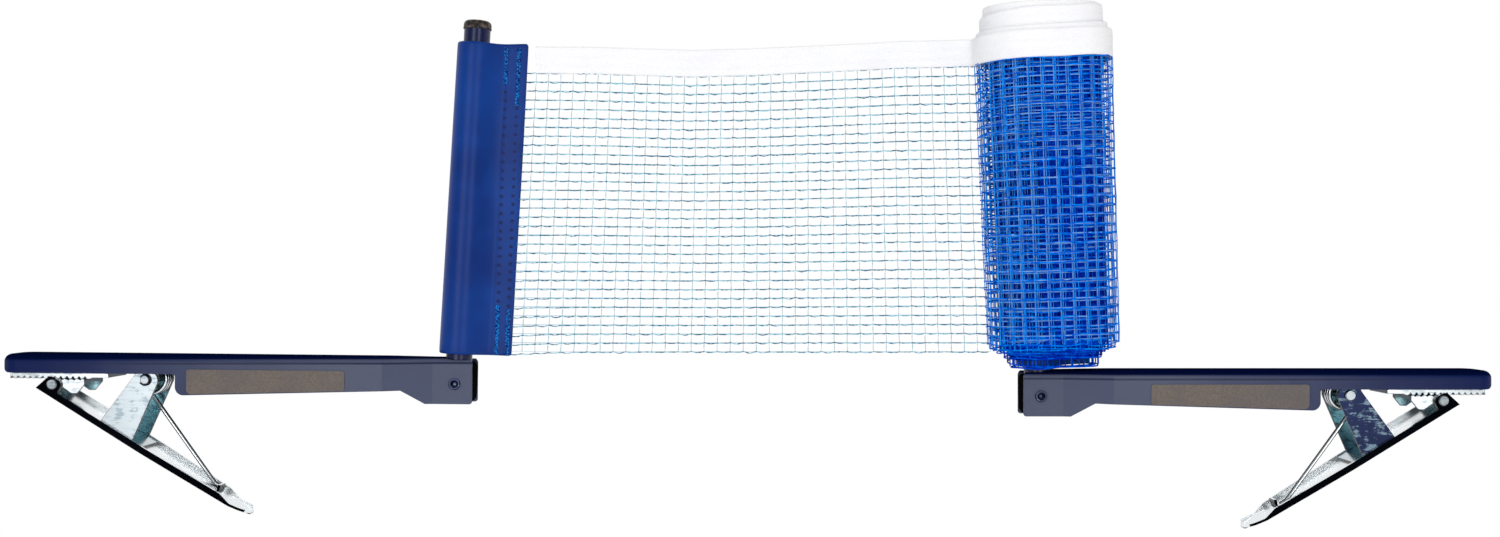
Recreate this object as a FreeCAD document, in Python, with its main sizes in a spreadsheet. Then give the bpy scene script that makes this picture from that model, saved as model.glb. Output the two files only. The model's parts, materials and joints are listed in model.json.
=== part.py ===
import FreeCAD, Part
import math
import os
import Sketcher

# Table tennis net set: a net half rolled up between two spring clip clamps.
# +Z is up, +X runs from the left post to the right post and the net lies in the XZ plane.
# The origin is where the left clamp meets the corner of its table.
# The table's top is z = 0 and its edge x = 0.
# Each clamp is drawn in a frame of its own, with u outboard from the foot pin and z above its table.

Vector = FreeCAD.Vector
UP = Vector(0, 0, 1)
ACROSS = Vector(0, 1, 0)
ORIGIN = Vector(0, 0, 0)

# Driving dimensions, in millimetres and degrees
SIZES = [
    ("left_foot_x", 144.4, "left foot pin from the table's edge"),
    ("foot_spacing", 266.8, "from the left foot pin to the right one with the net half rolled up"),
    ("right_drop", 7.1, "how much lower the right clamp sits"),
    ("left_tilt", 0.6, "tilt of the left clamp, its nose up, degrees"),
    ("left_lean", 3.2, "lean of the left post towards the net, degrees"),
    ("right_lean", 2.0, "lean of the right post towards the net, degrees"),
    ("run_gap", 0.05, "radial running clearance of a pin"),
    ("side_gap", 0.2, "side clearance between pressed pieces that turn"),
    ("sheet", 1.2, "thickness of the pressed steel"),
    ("arm_nose", 205.5, "foot pin to the arm's nose"),
    ("arm_tail", 7.9, "foot pin to the open end of the knuckle"),
    ("arm_top", 11.0, "web's upper face above the table"),
    ("arm_half", 12.5, "half the arm's width"),
    ("knuckle_half", 7.9, "half the width of the pinched knuckle"),
    ("pinch_start", 10.0, "flat of the pinched knuckle"),
    ("pinch_end", 32.0, "where the pinch runs out"),
    ("bend", 3.5, "outside radius of the channel's bends"),
    ("nose_corner", 8.0, "plan radius of the nose"),
    ("chin", 4.7, "radius under the nose"),
    ("narrow_edge", 2.7, "lower edge of the narrow walls above the table"),
    ("step_back", 14.3, "lever's pivot back to the step of the walls"),
    ("step_corner", 3.8, "lower radius of the step"),
    ("deep_edge", 6.9, "lower edge of the deep walls at the step, below the table"),
    ("deep_edge_back", 3.8, "lower edge of the deep walls at the knuckle, below the table"),
    ("slope_top_u", 24.0, "upper end of the knuckle's slope"),
    ("slope_foot_u", 13.3, "lower end of the knuckle's slope"),
    ("knuckle_edge", 9.9, "lower edge of the knuckle below the table"),
    ("tail_corner", 3.0, "upper radius of the knuckle's open end"),
    ("foot_pin_drop", 0.7, "foot pin below the table"),
    ("foot_pin_r", 2.1, "shank radius of the foot rivet"),
    ("foot_head_r", 2.7, "head radius of the foot rivet"),
    ("foot_head", 0.7, "height of the foot rivet's head"),
    ("label_start", 48.8, "foot pin to the plate's inner end"),
    ("label_back", 5.2, "step of the walls back to the plate's outer end"),
    ("label_top", 4.95, "plate's upper edge above the table"),
    ("label_margin", 0.5, "plate's lower edge above the arm's"),
    ("label_thick", 0.35, "thickness of the bare plate"),
    ("strip_back", 4.55, "arm's nose back to the last tooth"),
    ("tab_length", 8.6, "length of the grip strip's tab"),
    ("tooth_pitch", 2.75, "pitch of the grip teeth"),
    ("tooth_count", 13, "grip teeth"),
    ("tooth_depth", 1.4, "depth of the valleys"),
    ("tooth_flat", 1.0, "flat on a tooth's tip"),
    ("strip_top", 5.2, "grip strip's upper face above the table"),
    ("strip_land", 2.4, "where the strip widens above the table"),
    ("strip_half", 9.9, "half the length of the teeth"),
    ("tab_rise", 0.6, "tab's lower face above the table"),
    ("pivot_back", 65.8, "arm's nose back to the lever's pivot"),
    ("pivot_drop", 0.1, "lever's pivot below the table"),
    ("pivot_r", 2.0, "radius of the pivot pin"),
    ("pivot_head_r", 2.5, "radius of the pivot pin's head"),
    ("pin_head", 0.8, "height of the pivot pin's head"),
    ("clip_r", 2.75, "outside radius of the retaining clip"),
    ("clip_thick", 0.6, "thickness of the retaining clip"),
    ("clip_angle", 60.0, "opening of the retaining clip, degrees"),
    ("lug_half", 4.6, "radius of the arm's inner lugs at the pin"),
    ("lug_root", 6.0, "half the width of the lugs at the web"),
    ("ear_half", 10.0, "half the width over the lever's ears"),
    ("lever_angle", 31.7, "slope of the closed lever, degrees"),
    ("lever_pivot_back", 39.7, "lever's nose to the pivot, along the lever"),
    ("lever_pivot_rise", 29.2, "pivot above the lever's underside"),
    ("lever_straight", 101.3, "straight length of the lever"),
    ("handle_length", 9.5, "length of the curled thumb end"),
    ("handle_angle", 8.1, "how much flatter the thumb end is, degrees"),
    ("flange", 3.0, "height of the lever's upturned flanges"),
    ("taper_start", 56.0, "lever's nose to where the lever narrows, along the lever"),
    ("thumb_half", 7.2, "half the width of the thumb rest at its end"),
    ("flange_run", 6.0, "length over which the flanges run out"),
    ("lip_drop", 0.8, "drop of the rolled lip at the thumb end"),
    ("jaw_back", 5.4, "lever's nose to the jaw pin, along the lever"),
    ("jaw_rise", 5.35, "jaw pin above the lever's underside"),
    ("jaw_pin_r", 1.6, "radius of the jaw pin"),
    ("jaw_head_r", 2.4, "radius of the jaw pin's heads"),
    ("jaw_ear_r", 3.0, "radius of the lever's ears at the jaw pin"),
    ("ear_foot_front", 32.3, "lever's nose to the front of the ear's foot"),
    ("ear_foot_back", 49.3, "lever's nose to the back of the ear's foot"),
    ("ear_r", 4.9, "radius of the ears round the pivot"),
    ("ear_tab", 5.0, "tab behind the ear's foot"),
    ("hook_back", 92.6, "lever's nose to the hook over the spring's leg"),
    ("hook_height", 4.4, "height of the hook above the lever's floor"),
    ("hook_half", 3.2, "half the width of the hook"),
    ("jaw_disc_r", 3.9, "radius of the toothed disc"),
    ("jaw_gap", 0.1, "gap between the closed jaws"),
    ("jaw_tail", 14.0, "jaw pin to the end of the jaw's tail"),
    ("jaw_tail_drop", 4.2, "lower end of the tail below the jaw pin"),
    ("jaw_tooth_depth", 0.6, "depth of the jaw's valleys"),
    ("rim_notches", 12, "notches in the disc's rim"),
    ("wire", 1.9, "spring wire diameter"),
    ("coil_r", 6.55, "mean radius of the spring's coil"),
    ("coil_pitch", 2.6, "pitch of the coil"),
    ("coil_turns", 3, "whole turns of the coil"),
    ("upper_leg", 27.0, "length of the leg under the web"),
    ("foot_run", 3.4, "wire that lies on the lever's floor"),
    ("spring_foot", 88.0, "lever's nose to the bend of the spring's foot"),
    ("tube_r", 6.0, "outside radius of the post tube"),
    ("tube_wall", 1.0, "wall of the post tube"),
    ("tube_start", 9.5, "foot pin to the foot block's shoulder, where the tube stands"),
    ("spigot", 14.0, "length of the spigot inside the tube"),
    ("post_length", 162.6, "foot pin to the tube's upper end"),
    ("block_half", 7.8, "half the width of the foot block along the arm"),
    ("block_base", 8.9, "foot pin to the block's lower face"),
    ("cap_height", 4.0, "height of the cap over its rim"),
    ("cap_rim_r", 6.45, "radius of the cap's rim"),
    ("sleeve_start", 13.4, "foot pin to the sleeve's lower end"),
    ("sleeve_end", 156.3, "foot pin to the sleeve's upper end"),
    ("sleeve_gap", 0.8, "play between the tube and its sleeve"),
    ("sleeve_wall", 1.8, "thickness of the sleeve"),
    ("sleeve_flap", 24.0, "post's axis to the edge of the flap"),
    ("flap_start", 15.0, "post's axis to where the flap lies flat"),
    ("flap_half", 1.3, "half the thickness of the flap"),
    ("mesh_bottom", 12.0, "net's lower edge above the table"),
    ("band_left", 140.3, "band's lower edge above the table at the left sleeve"),
    ("band_sag", 2.9, "dip of the band in the middle"),
    ("band_right", 143.4, "band's lower edge above the table at the roll"),
    ("band_height", 12.4, "height of the top band"),
    ("band_start", 3.6, "gap between the flap and the band"),
    ("band_thick", 1.4, "thickness of the folded band"),
    ("mesh_thick", 0.6, "thickness of the netting"),
    ("cord_width", 0.9, "width of the net's cords"),
    ("mesh_columns", 20, "gaps along the net"),
    ("mesh_rows", 14, "gaps up the net"),
    ("roll_core_r", 9.1, "inner radius of the rolled net"),
    ("roll_core_length", 15.5, "distance between the two ends that the net is rolled round"),
    ("roll_pitch", 1.45, "thickness taken by one wrap"),
    ("roll_sheet", 0.8, "thickness of the rolled netting"),
    ("roll_band_sheet", 1.05, "thickness of the rolled band"),
    ("roll_wraps", 9, "wraps of the roll"),
    ("inner_wraps", 5, "wraps that have slipped along the post"),
    ("middle_wraps", 2, "wraps that have slipped a little"),
    ("roll_outer_bottom", 22.6, "foot pin to the outer wraps' lower end"),
    ("roll_inner_bottom", 14.4, "foot pin to the inner wraps' lower end"),
    ("roll_outer_top", 151.6, "foot pin to the outer band's lower edge"),
    ("roll_slip", 14.6, "how far the inner band stands above the outer one"),
    ("middle_slip", 6.0, "how far the middle band stands above the outer one"),
]

doc = FreeCAD.newDocument("net_set")
sheet_page = doc.addObject("Spreadsheet::Sheet", "Size")
for row, (alias, value, note) in enumerate(SIZES, start=1):
    sheet_page.set("A%d" % row, alias)
    sheet_page.set("B%d" % row, str(value))
    sheet_page.set("C%d" % row, note)
    sheet_page.setAlias("B%d" % row, alias)
doc.recompute()


class Length:
    """A size that carries its number and the sheet formula that gives it."""

    def __init__(self, text, number):
        self.text = text
        self.number = number

    def join(self, sign, other, number):
        return Length("(%s %s %s)" % (self.text, sign, other.text), number)

    def __add__(self, other):
        other = length(other)
        return self.join("+", other, self.number + other.number)

    def __sub__(self, other):
        other = length(other)
        return self.join("-", other, self.number - other.number)

    def __mul__(self, other):
        other = length(other)
        return self.join("*", other, self.number * other.number)

    def __truediv__(self, other):
        other = length(other)
        return self.join("/", other, self.number / other.number)

    def __neg__(self):
        return Length("(0 - %s)" % self.text, -self.number)

    def __radd__(self, other):
        return length(other) + self

    def __rsub__(self, other):
        return length(other) - self

    def __rmul__(self, other):
        return length(other) * self

    def __float__(self):
        return float(self.number)


def length(value):
    return value if isinstance(value, Length) else Length(repr(float(value)), float(value))


def cell(alias):
    return Length("Size." + alias, float(getattr(sheet_page, alias)))


S = {alias: cell(alias) for alias, _, _ in SIZES}


def new_body(label):
    body = doc.addObject("PartDesign::Body", label)
    body.Label = label
    return body


def new_sketch(body, name, role, offset=None):
    """A sketch on one of the body's own origin planes, shifted along that plane's normal."""
    sketch = body.newObject("Sketcher::SketchObject", name)
    plane = next(item for item in body.Origin.OriginFeatures if item.Role == role)
    sketch.AttachmentSupport = (plane, [""])
    sketch.MapMode = "FlatFace"
    if offset is not None:
        sketch.AttachmentOffset = FreeCAD.Placement(Vector(0, 0, float(offset)), FreeCAD.Rotation())
        sketch.setExpression(".AttachmentOffset.Base.z", length(offset).text)
    return sketch


def bind(sketch, kind, *where, value):
    """Adds a dimension to the sketch and ties it to the sheet."""
    index = sketch.addConstraint(Sketcher.Constraint(kind, *where, float(value)))
    sketch.setExpression("Constraints[%d]" % index, length(value).text)


def place_point(sketch, geometry, end, x, y):
    """Ties one point of the sketch to its two coordinates."""
    for kind, value in (("DistanceX", x), ("DistanceY", y)):
        if abs(float(value)) < 1e-9:
            axis = -2 if kind == "DistanceX" else -1
            sketch.addConstraint(Sketcher.Constraint("PointOnObject", geometry, end, axis))
        else:
            bind(sketch, kind, -1, 1, geometry, end, value=value)


def add_outline(sketch, corners):
    """A closed outline of straight runs through corners (x, y, radius), rounded where a radius is given."""
    corners = [corner if len(corner) == 3 else corner + (None,) for corner in corners]
    points = [Vector(float(x), float(y), 0) for x, y, _ in corners]
    count = len(points)
    entry, leave, arcs = [], [], {}
    for i, (x, y, radius) in enumerate(corners):
        before = (points[i - 1] - points[i]).normalize()
        after = (points[(i + 1) % count] - points[i]).normalize()
        if radius is None:
            entry.append(points[i])
            leave.append(points[i])
            continue
        half = before.getAngle(after) / 2
        run = float(radius) / math.tan(half)
        entry.append(points[i] + before * run)
        leave.append(points[i] + after * run)
        middle = points[i] + (before + after).normalize() * (float(radius) / math.sin(half))
        left_turn = (before.cross(after)).z < 0
        first, last = (entry[i], leave[i]) if left_turn else (leave[i], entry[i])
        angles = [math.atan2(p.y - middle.y, p.x - middle.x) for p in (first, last)]
        circle = Part.Circle(middle, UP, float(radius))
        arcs[i] = (Part.ArcOfCircle(circle, angles[0], angles[1]), left_turn)
    runs = [Part.LineSegment(leave[i], entry[(i + 1) % count]) for i in range(count)]
    lines = [sketch.addGeometry(run, False) for run in runs]
    for i, (x, y, radius) in enumerate(corners):
        line_in, line_out = lines[i - 1], lines[i]
        if radius is None:
            sketch.addConstraint(Sketcher.Constraint("Coincident", line_in, 2, line_out, 1))
            place_point(sketch, line_out, 1, x, y)
            continue
        arc, left_turn = arcs[i]
        index = sketch.addGeometry(arc, False)
        sketch.addConstraint(Sketcher.Constraint("Tangent", line_in, 2, index, 1 if left_turn else 2))
        sketch.addConstraint(Sketcher.Constraint("Tangent", line_out, 1, index, 2 if left_turn else 1))
        bind(sketch, "Radius", index, value=radius)
        corner = sketch.addGeometry(Part.Point(points[i]), True)
        sketch.addConstraint(Sketcher.Constraint("PointOnObject", corner, 1, line_in))
        sketch.addConstraint(Sketcher.Constraint("PointOnObject", corner, 1, line_out))
        place_point(sketch, corner, 1, x, y)


def add_circle(sketch, x, y, radius):
    circle = Part.Circle(Vector(float(x), float(y), 0), UP, float(radius))
    index = sketch.addGeometry(circle, False)
    place_point(sketch, index, 3, x, y)
    bind(sketch, "Radius", index, value=radius)


def outlined(body, name, role, corners, offset=None):
    sketch = new_sketch(body, name, role, offset)
    add_outline(sketch, corners)
    return sketch


def pad(body, sketch, depth, both_ways=False):
    feature = body.newObject("PartDesign::Pad", sketch.Name + "_pad")
    feature.Profile = sketch
    feature.Midplane = both_ways
    feature.setExpression("Length", length(depth).text)
    doc.recompute()
    return feature


def pocket(body, sketch, depth, both_ways=False, back=False):
    """Cuts the sketch out of the body and stops the build if nothing was cut."""
    before = body.Shape.Volume
    feature = body.newObject("PartDesign::Pocket", sketch.Name + "_cut")
    feature.Profile = sketch
    feature.Midplane = both_ways
    feature.Reversed = back
    feature.setExpression("Length", length(depth).text)
    doc.recompute()
    if body.Shape.Volume > before - 1e-6:
        raise RuntimeError("the cut %s removes nothing" % feature.Name)
    return feature


def cross_hole(body, name, x, z, radius):
    """A round hole right across the body."""
    sketch = new_sketch(body, name, "XZ_Plane")
    add_circle(sketch, x, z, radius)
    return pocket(body, sketch, S["arm_half"] * 4, both_ways=True)


def round_edges(body, radius, wanted):
    """Rounds the edges of the body's last feature that the test picks."""
    base = body.Tip
    names = ["Edge%d" % i for i, edge in enumerate(base.Shape.Edges, start=1) if wanted(edge)]
    if not names:
        raise RuntimeError("no edge to round on %s" % body.Label)
    feature = body.newObject("PartDesign::Fillet", "%s_round_%d" % (body.Name, len(names)))
    feature.Base = (base, names)
    feature.setExpression("Radius", length(radius).text)
    doc.recompute()
    return feature


def repeat(body, feature, axis_role, span, count, around=False):
    """Repeats a cut along or around one of the body's own axes."""
    kind = "PartDesign::PolarPattern" if around else "PartDesign::LinearPattern"
    axis = next(item for item in body.Origin.OriginFeatures if item.Role == axis_role)
    pattern = body.newObject(kind, feature.Name + "_row")
    pattern.Originals = [feature]
    if around:
        pattern.Axis = (axis, [""])
        pattern.Angle = 360
    else:
        pattern.Direction = (axis, [""])
        pattern.setExpression("Length", length(span).text)
    pattern.setExpression("Occurrences", length(count).text)
    body.Tip = pattern
    doc.recompute()
    return pattern


def revolve(body, sketch, axis_role):
    feature = body.newObject("PartDesign::Revolution", sketch.Name + "_turned")
    feature.Profile = sketch
    axis = next(item for item in body.Origin.OriginFeatures if item.Role == axis_role)
    feature.ReferenceAxis = (axis, [""])
    feature.Angle = 360
    doc.recompute()
    return feature


# Sizes that follow from the driving ones, with u from the foot pin towards the nose
pivot_u = S["arm_nose"] - S["pivot_back"]
step_u = pivot_u - S["step_back"]
label_end = step_u - S["label_back"]
teeth_end = S["arm_nose"] - S["strip_back"]
teeth_start = teeth_end - S["tooth_pitch"] * S["tooth_count"]
tab_start = teeth_start - S["tab_length"]
inner_half = S["arm_half"] - S["sheet"]
knuckle_inner = S["knuckle_half"] - S["sheet"]
web_under = S["arm_top"] - S["sheet"]
lug_outer = S["ear_half"] - S["sheet"] - S["side_gap"]
lever_half = S["ear_half"] + S["run_gap"] + S["sheet"]
overrun = S["arm_half"]

# Places of the two clamps and their posts
TURN = {"left": FreeCAD.Rotation(UP, 180), "right": FreeCAD.Rotation()}
FOOT_X = {"left": S["left_foot_x"], "right": S["left_foot_x"] + S["foot_spacing"]}
TABLE_Z = {"left": length(0), "right": -S["right_drop"]}
TILT = {"left": S["left_tilt"], "right": length(0)}
LEAN = {"left": S["left_lean"], "right": S["right_lean"]}


def clamp_frame(side):
    """Origin above the foot pin in the plane of the table, x outboard."""
    level = FreeCAD.Placement(Vector(float(FOOT_X[side]), 0, float(TABLE_Z[side])), TURN[side])
    tilt = FreeCAD.Placement(ORIGIN, FreeCAD.Rotation(ACROSS, float(TILT[side])))
    return tilt.multiply(level)


def foot_pin(side):
    return clamp_frame(side).multVec(Vector(0, 0, -float(S["foot_pin_drop"])))


def post_frame(side):
    """Origin at the foot pin, z up the leaning post and x outboard."""
    lean = FreeCAD.Rotation(ACROSS, -float(LEAN[side]))
    return FreeCAD.Placement(foot_pin(side), TURN[side].multiply(lean))


def lever_place():
    """The lever's own frame in the clamp's: x from the thumb rest to the nose, z towards the arm."""
    turn = FreeCAD.Rotation(ACROSS, -float(S["lever_angle"]))
    pivot = Vector(float(pivot_u), 0, -float(S["pivot_drop"]))
    reach = turn.multVec(Vector(-float(S["lever_pivot_back"]), 0, float(S["lever_pivot_rise"])))
    return FreeCAD.Placement(pivot - reach, turn)


def jaw_place():
    """The jaw pin's place in the clamp's frame."""
    pin = lever_place().multVec(Vector(-float(S["jaw_back"]), 0, float(S["jaw_rise"])))
    return FreeCAD.Placement(pin, FreeCAD.Rotation())


def plan_corners(half, knuckle, nose, corner, tail):
    """Plan outline of the channel: full width, pinched at the knuckle, with a round nose."""
    one_side = [(-tail, knuckle), (S["pinch_start"], knuckle), (S["pinch_end"], half), (nose, half, corner)]
    other_side = [(corner_set[0], -corner_set[1]) + corner_set[2:] for corner_set in reversed(one_side)]
    return one_side + other_side


def make_arm(side):
    """Pressed steel channel, trimmed to its side outline, with the notch that lets the post in."""
    label = side + "_arm"
    body = new_body(label)
    depth = S["arm_top"] + S["knuckle_edge"]
    blank_tail = S["arm_tail"] + overrun
    outside = plan_corners(S["arm_half"], S["knuckle_half"], S["arm_nose"], S["nose_corner"], blank_tail)
    blank = outlined(body, label + "_plan", "XY_Plane", outside, offset=-S["knuckle_edge"])
    pad(body, blank, depth)
    top = float(S["arm_top"])
    tail_x = -float(blank_tail) + 0.1

    def top_edge(edge):
        return all(abs(v.Z - top) < 1e-6 for v in edge.Vertexes) and edge.BoundBox.XMax > tail_x

    round_edges(body, S["bend"], top_edge)
    inside = plan_corners(inner_half, knuckle_inner, S["arm_nose"] - S["sheet"],
                          S["nose_corner"] - S["sheet"], blank_tail + overrun)
    hollow = outlined(body, label + "_hollow", "XY_Plane", inside, offset=-S["knuckle_edge"])
    pocket(body, hollow, depth - S["sheet"], back=True)
    under = float(web_under)

    def inner_edge(edge):
        flat = all(abs(v.Z - under) < 1e-6 for v in edge.Vertexes)
        return flat and edge.BoundBox.XMax > tail_x

    round_edges(body, S["bend"] - S["sheet"], inner_edge)
    trim = outlined(body, label + "_side", "XZ_Plane", [
        (-S["arm_tail"], S["arm_top"], S["tail_corner"]),
        (-S["arm_tail"], -S["knuckle_edge"], S["sheet"]),
        (S["slope_foot_u"], -S["knuckle_edge"]),
        (S["slope_top_u"], -S["deep_edge_back"]),
        (step_u, -S["deep_edge"], S["step_corner"]),
        (step_u, S["narrow_edge"], S["sheet"]),
        (S["arm_nose"], S["narrow_edge"], S["chin"]),
        (S["arm_nose"], S["arm_top"]),
    ])
    add_outline(trim, [
        (-blank_tail - overrun, -S["knuckle_edge"] - overrun),
        (S["arm_nose"] + overrun, -S["knuckle_edge"] - overrun),
        (S["arm_nose"] + overrun, S["arm_top"] + overrun),
        (-blank_tail - overrun, S["arm_top"] + overrun),
    ])
    pocket(body, trim, S["arm_half"] * 4, both_ways=True)
    notch = outlined(body, label + "_notch", "XY_Plane", [
        (-blank_tail, knuckle_inner),
        (knuckle_inner, knuckle_inner, knuckle_inner - S["run_gap"]),
        (knuckle_inner, -knuckle_inner, knuckle_inner - S["run_gap"]),
        (-blank_tail, -knuckle_inner),
    ], offset=S["arm_top"] - S["bend"])
    pocket(body, notch, S["bend"] + S["sheet"], back=True)
    hole_r = S["foot_pin_r"] + S["run_gap"] / 2
    cross_hole(body, label + "_rivet_hole", length(0), -S["foot_pin_drop"], hole_r)
    return body


def wall_edge(u):
    """Lower edge of the deep walls at u."""
    slope = (S["deep_edge"] - S["deep_edge_back"]) / (step_u - S["slope_top_u"])
    return -S["deep_edge_back"] - slope * (u - S["slope_top_u"])


def make_label(side):
    """Bare plate on the face of the arm that the photograph shows."""
    label = side + "_label"
    body = new_body(label)
    facing = 1 if side == "right" else -1
    plate = outlined(body, label + "_outline", "XZ_Plane", [
        (S["label_start"], wall_edge(S["label_start"]) + S["label_margin"], S["sheet"]),
        (label_end, wall_edge(label_end) + S["label_margin"], S["sheet"] * 2),
        (label_end, S["label_top"], S["sheet"]),
        (S["label_start"], S["label_top"], S["sheet"]),
    ], offset=S["arm_half"] * facing)
    feature = pad(body, plate, S["label_thick"])
    feature.Reversed = facing < 0
    return body


def make_grip_strip(side):
    """Serrated strip held between the walls under the nose, with its tab."""
    label = side + "_grip_strip"
    body = new_body(label)
    half = inner_half - S["run_gap"]
    land = outlined(body, label + "_land", "XY_Plane", [
        (tab_start, half),
        (teeth_end, half, S["nose_corner"] / 2),
        (teeth_end, -half, S["nose_corner"] / 2),
        (tab_start, -half),
    ], offset=S["strip_land"])
    pad(body, land, S["strip_top"] - S["strip_land"])
    teeth = outlined(body, label + "_teeth", "XZ_Plane", [
        (tab_start, S["tab_rise"]),
        (teeth_start - S["sheet"], S["tab_rise"]),
        (teeth_start, length(0)),
        (teeth_end, length(0)),
        (teeth_end, S["strip_land"] + S["sheet"]),
        (tab_start, S["strip_land"] + S["sheet"]),
    ])
    pad(body, teeth, S["strip_half"] * 2, both_ways=True)
    first = teeth_start + S["tooth_flat"]
    middle = teeth_start + (S["tooth_flat"] + S["tooth_pitch"]) / 2
    valley = outlined(body, label + "_valley", "XZ_Plane", [
        (first, -S["sheet"]),
        (teeth_start + S["tooth_pitch"], -S["sheet"]),
        (teeth_start + S["tooth_pitch"], length(0)),
        (middle, S["tooth_depth"], S["tooth_flat"] / 3),
        (first, length(0)),
    ])
    cut = pocket(body, valley, S["arm_half"] * 4, both_ways=True)
    repeat(body, cut, "X_Axis", S["tooth_pitch"] * (S["tooth_count"] - 1), S["tooth_count"])
    return body


def turned_pin(body, name, radii):
    """Turns a stepped outline (y, radius) about the Y axis."""
    first, last = radii[0][0], radii[-1][0]
    corners = [(length(0), first)] + [(radius, y) for y, radius in radii] + [(length(0), last)]
    sketch = outlined(body, name, "XY_Plane", corners)
    return revolve(body, sketch, "Y_Axis")


def make_foot_rivet(side):
    """Hollow-ended rivet that the post folds on, with a dished head at each end."""
    body = new_body(side + "_foot_rivet")
    face = S["knuckle_half"] + S["run_gap"]
    end = face + S["foot_head"]
    dish = S["foot_pin_r"] - S["run_gap"] * 6
    floor = end - S["foot_head"] * 2
    turned_pin(body, body.Name + "_outline", [
        (-floor, S["foot_pin_r"] / 3), (-end, dish), (-end, S["foot_head_r"] - S["foot_head"] / 3),
        (-end + S["foot_head"] / 2, S["foot_head_r"]), (-face, S["foot_head_r"]), (-face, S["foot_pin_r"]),
        (face, S["foot_pin_r"]), (face, S["foot_head_r"]), (end - S["foot_head"] / 2, S["foot_head_r"]),
        (end, S["foot_head_r"] - S["foot_head"] / 3), (end, dish), (floor, S["foot_pin_r"] / 3),
    ])
    return body


def make_pivot_bracket(side):
    """Inner lugs under the web that carry the lever's pivot pin."""
    label = side + "_pivot_bracket"
    body = new_body(label)
    low = -S["pivot_drop"] - S["lug_half"]
    outline = outlined(body, label + "_side", "XZ_Plane", [
        (pivot_u - S["lug_root"], web_under - S["run_gap"]),
        (pivot_u - S["lug_half"], low, S["lug_half"] - S["run_gap"] * 4),
        (pivot_u + S["lug_half"], low, S["lug_half"] - S["run_gap"] * 4),
        (pivot_u + S["lug_root"], web_under - S["run_gap"]),
    ])
    pad(body, outline, lug_outer * 2, both_ways=True)
    between = outlined(body, label + "_between", "XZ_Plane", [
        (pivot_u - S["lug_root"] * 2, low - overrun),
        (pivot_u + S["lug_root"] * 2, low - overrun),
        (pivot_u + S["lug_root"] * 2, web_under - S["sheet"]),
        (pivot_u - S["lug_root"] * 2, web_under - S["sheet"]),
    ])
    pocket(body, between, (lug_outer - S["sheet"]) * 2, both_ways=True)
    cross_hole(body, label + "_hole", pivot_u, -S["pivot_drop"], S["pivot_r"] + S["run_gap"] / 2)
    return body


def make_pivot_pin(side):
    """Headed pin of the lever, grooved at its far end for the clip."""
    body = new_body(side + "_pivot_pin")
    face = S["ear_half"] + S["side_gap"] / 2
    groove = face + S["clip_thick"] + S["run_gap"]
    end = inner_half - S["run_gap"] * 2
    turned_pin(body, body.Name + "_outline", [
        (-face - S["pin_head"], S["pivot_head_r"] - S["pin_head"] / 2),
        (-face - S["pin_head"] / 2, S["pivot_head_r"]), (-face, S["pivot_head_r"]),
        (-face, S["pivot_r"]), (face, S["pivot_r"]),
        (face, S["pivot_r"] - S["clip_thick"] / 2), (groove, S["pivot_r"] - S["clip_thick"] / 2),
        (groove, S["pivot_r"]), (end - S["side_gap"], S["pivot_r"]), (end, S["pivot_r"] - S["side_gap"]),
    ])
    return body


def make_pivot_clip(side):
    """C-shaped retaining clip in the pin's groove."""
    label = side + "_pivot_clip"
    body = new_body(label)
    face = S["ear_half"] + S["side_gap"] / 2
    inner = S["pivot_r"] - S["clip_thick"] / 2 + S["run_gap"]
    sketch = new_sketch(body, label + "_ring", "XZ_Plane", offset=-face - S["clip_thick"])
    add_circle(sketch, length(0), length(0), S["clip_r"])
    add_circle(sketch, length(0), length(0), inner)
    pad(body, sketch, S["clip_thick"])
    reach = float(S["clip_r"]) * 2
    half = math.radians(float(S["clip_angle"])) / 2
    open_x = length(reach)
    open_y = length(reach * math.tan(half))
    gap = outlined(body, label + "_opening", "XZ_Plane", [
        (length(0), length(0)), (open_x, -open_y), (open_x, open_y)], offset=-face - S["clip_thick"] * 2)
    pocket(body, gap, S["clip_thick"] * 4, back=True)
    return body


def handle_point(along, rise):
    """A point of the thumb rest, along it from the bend and above its underside."""
    turn = math.radians(float(S["handle_angle"]))
    bend_x = -S["lever_straight"]
    x = bend_x - length(along) * math.cos(turn) + length(rise) * math.sin(turn)
    z = length(along) * math.sin(turn) + length(rise) * math.cos(turn)
    return x, z


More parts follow.
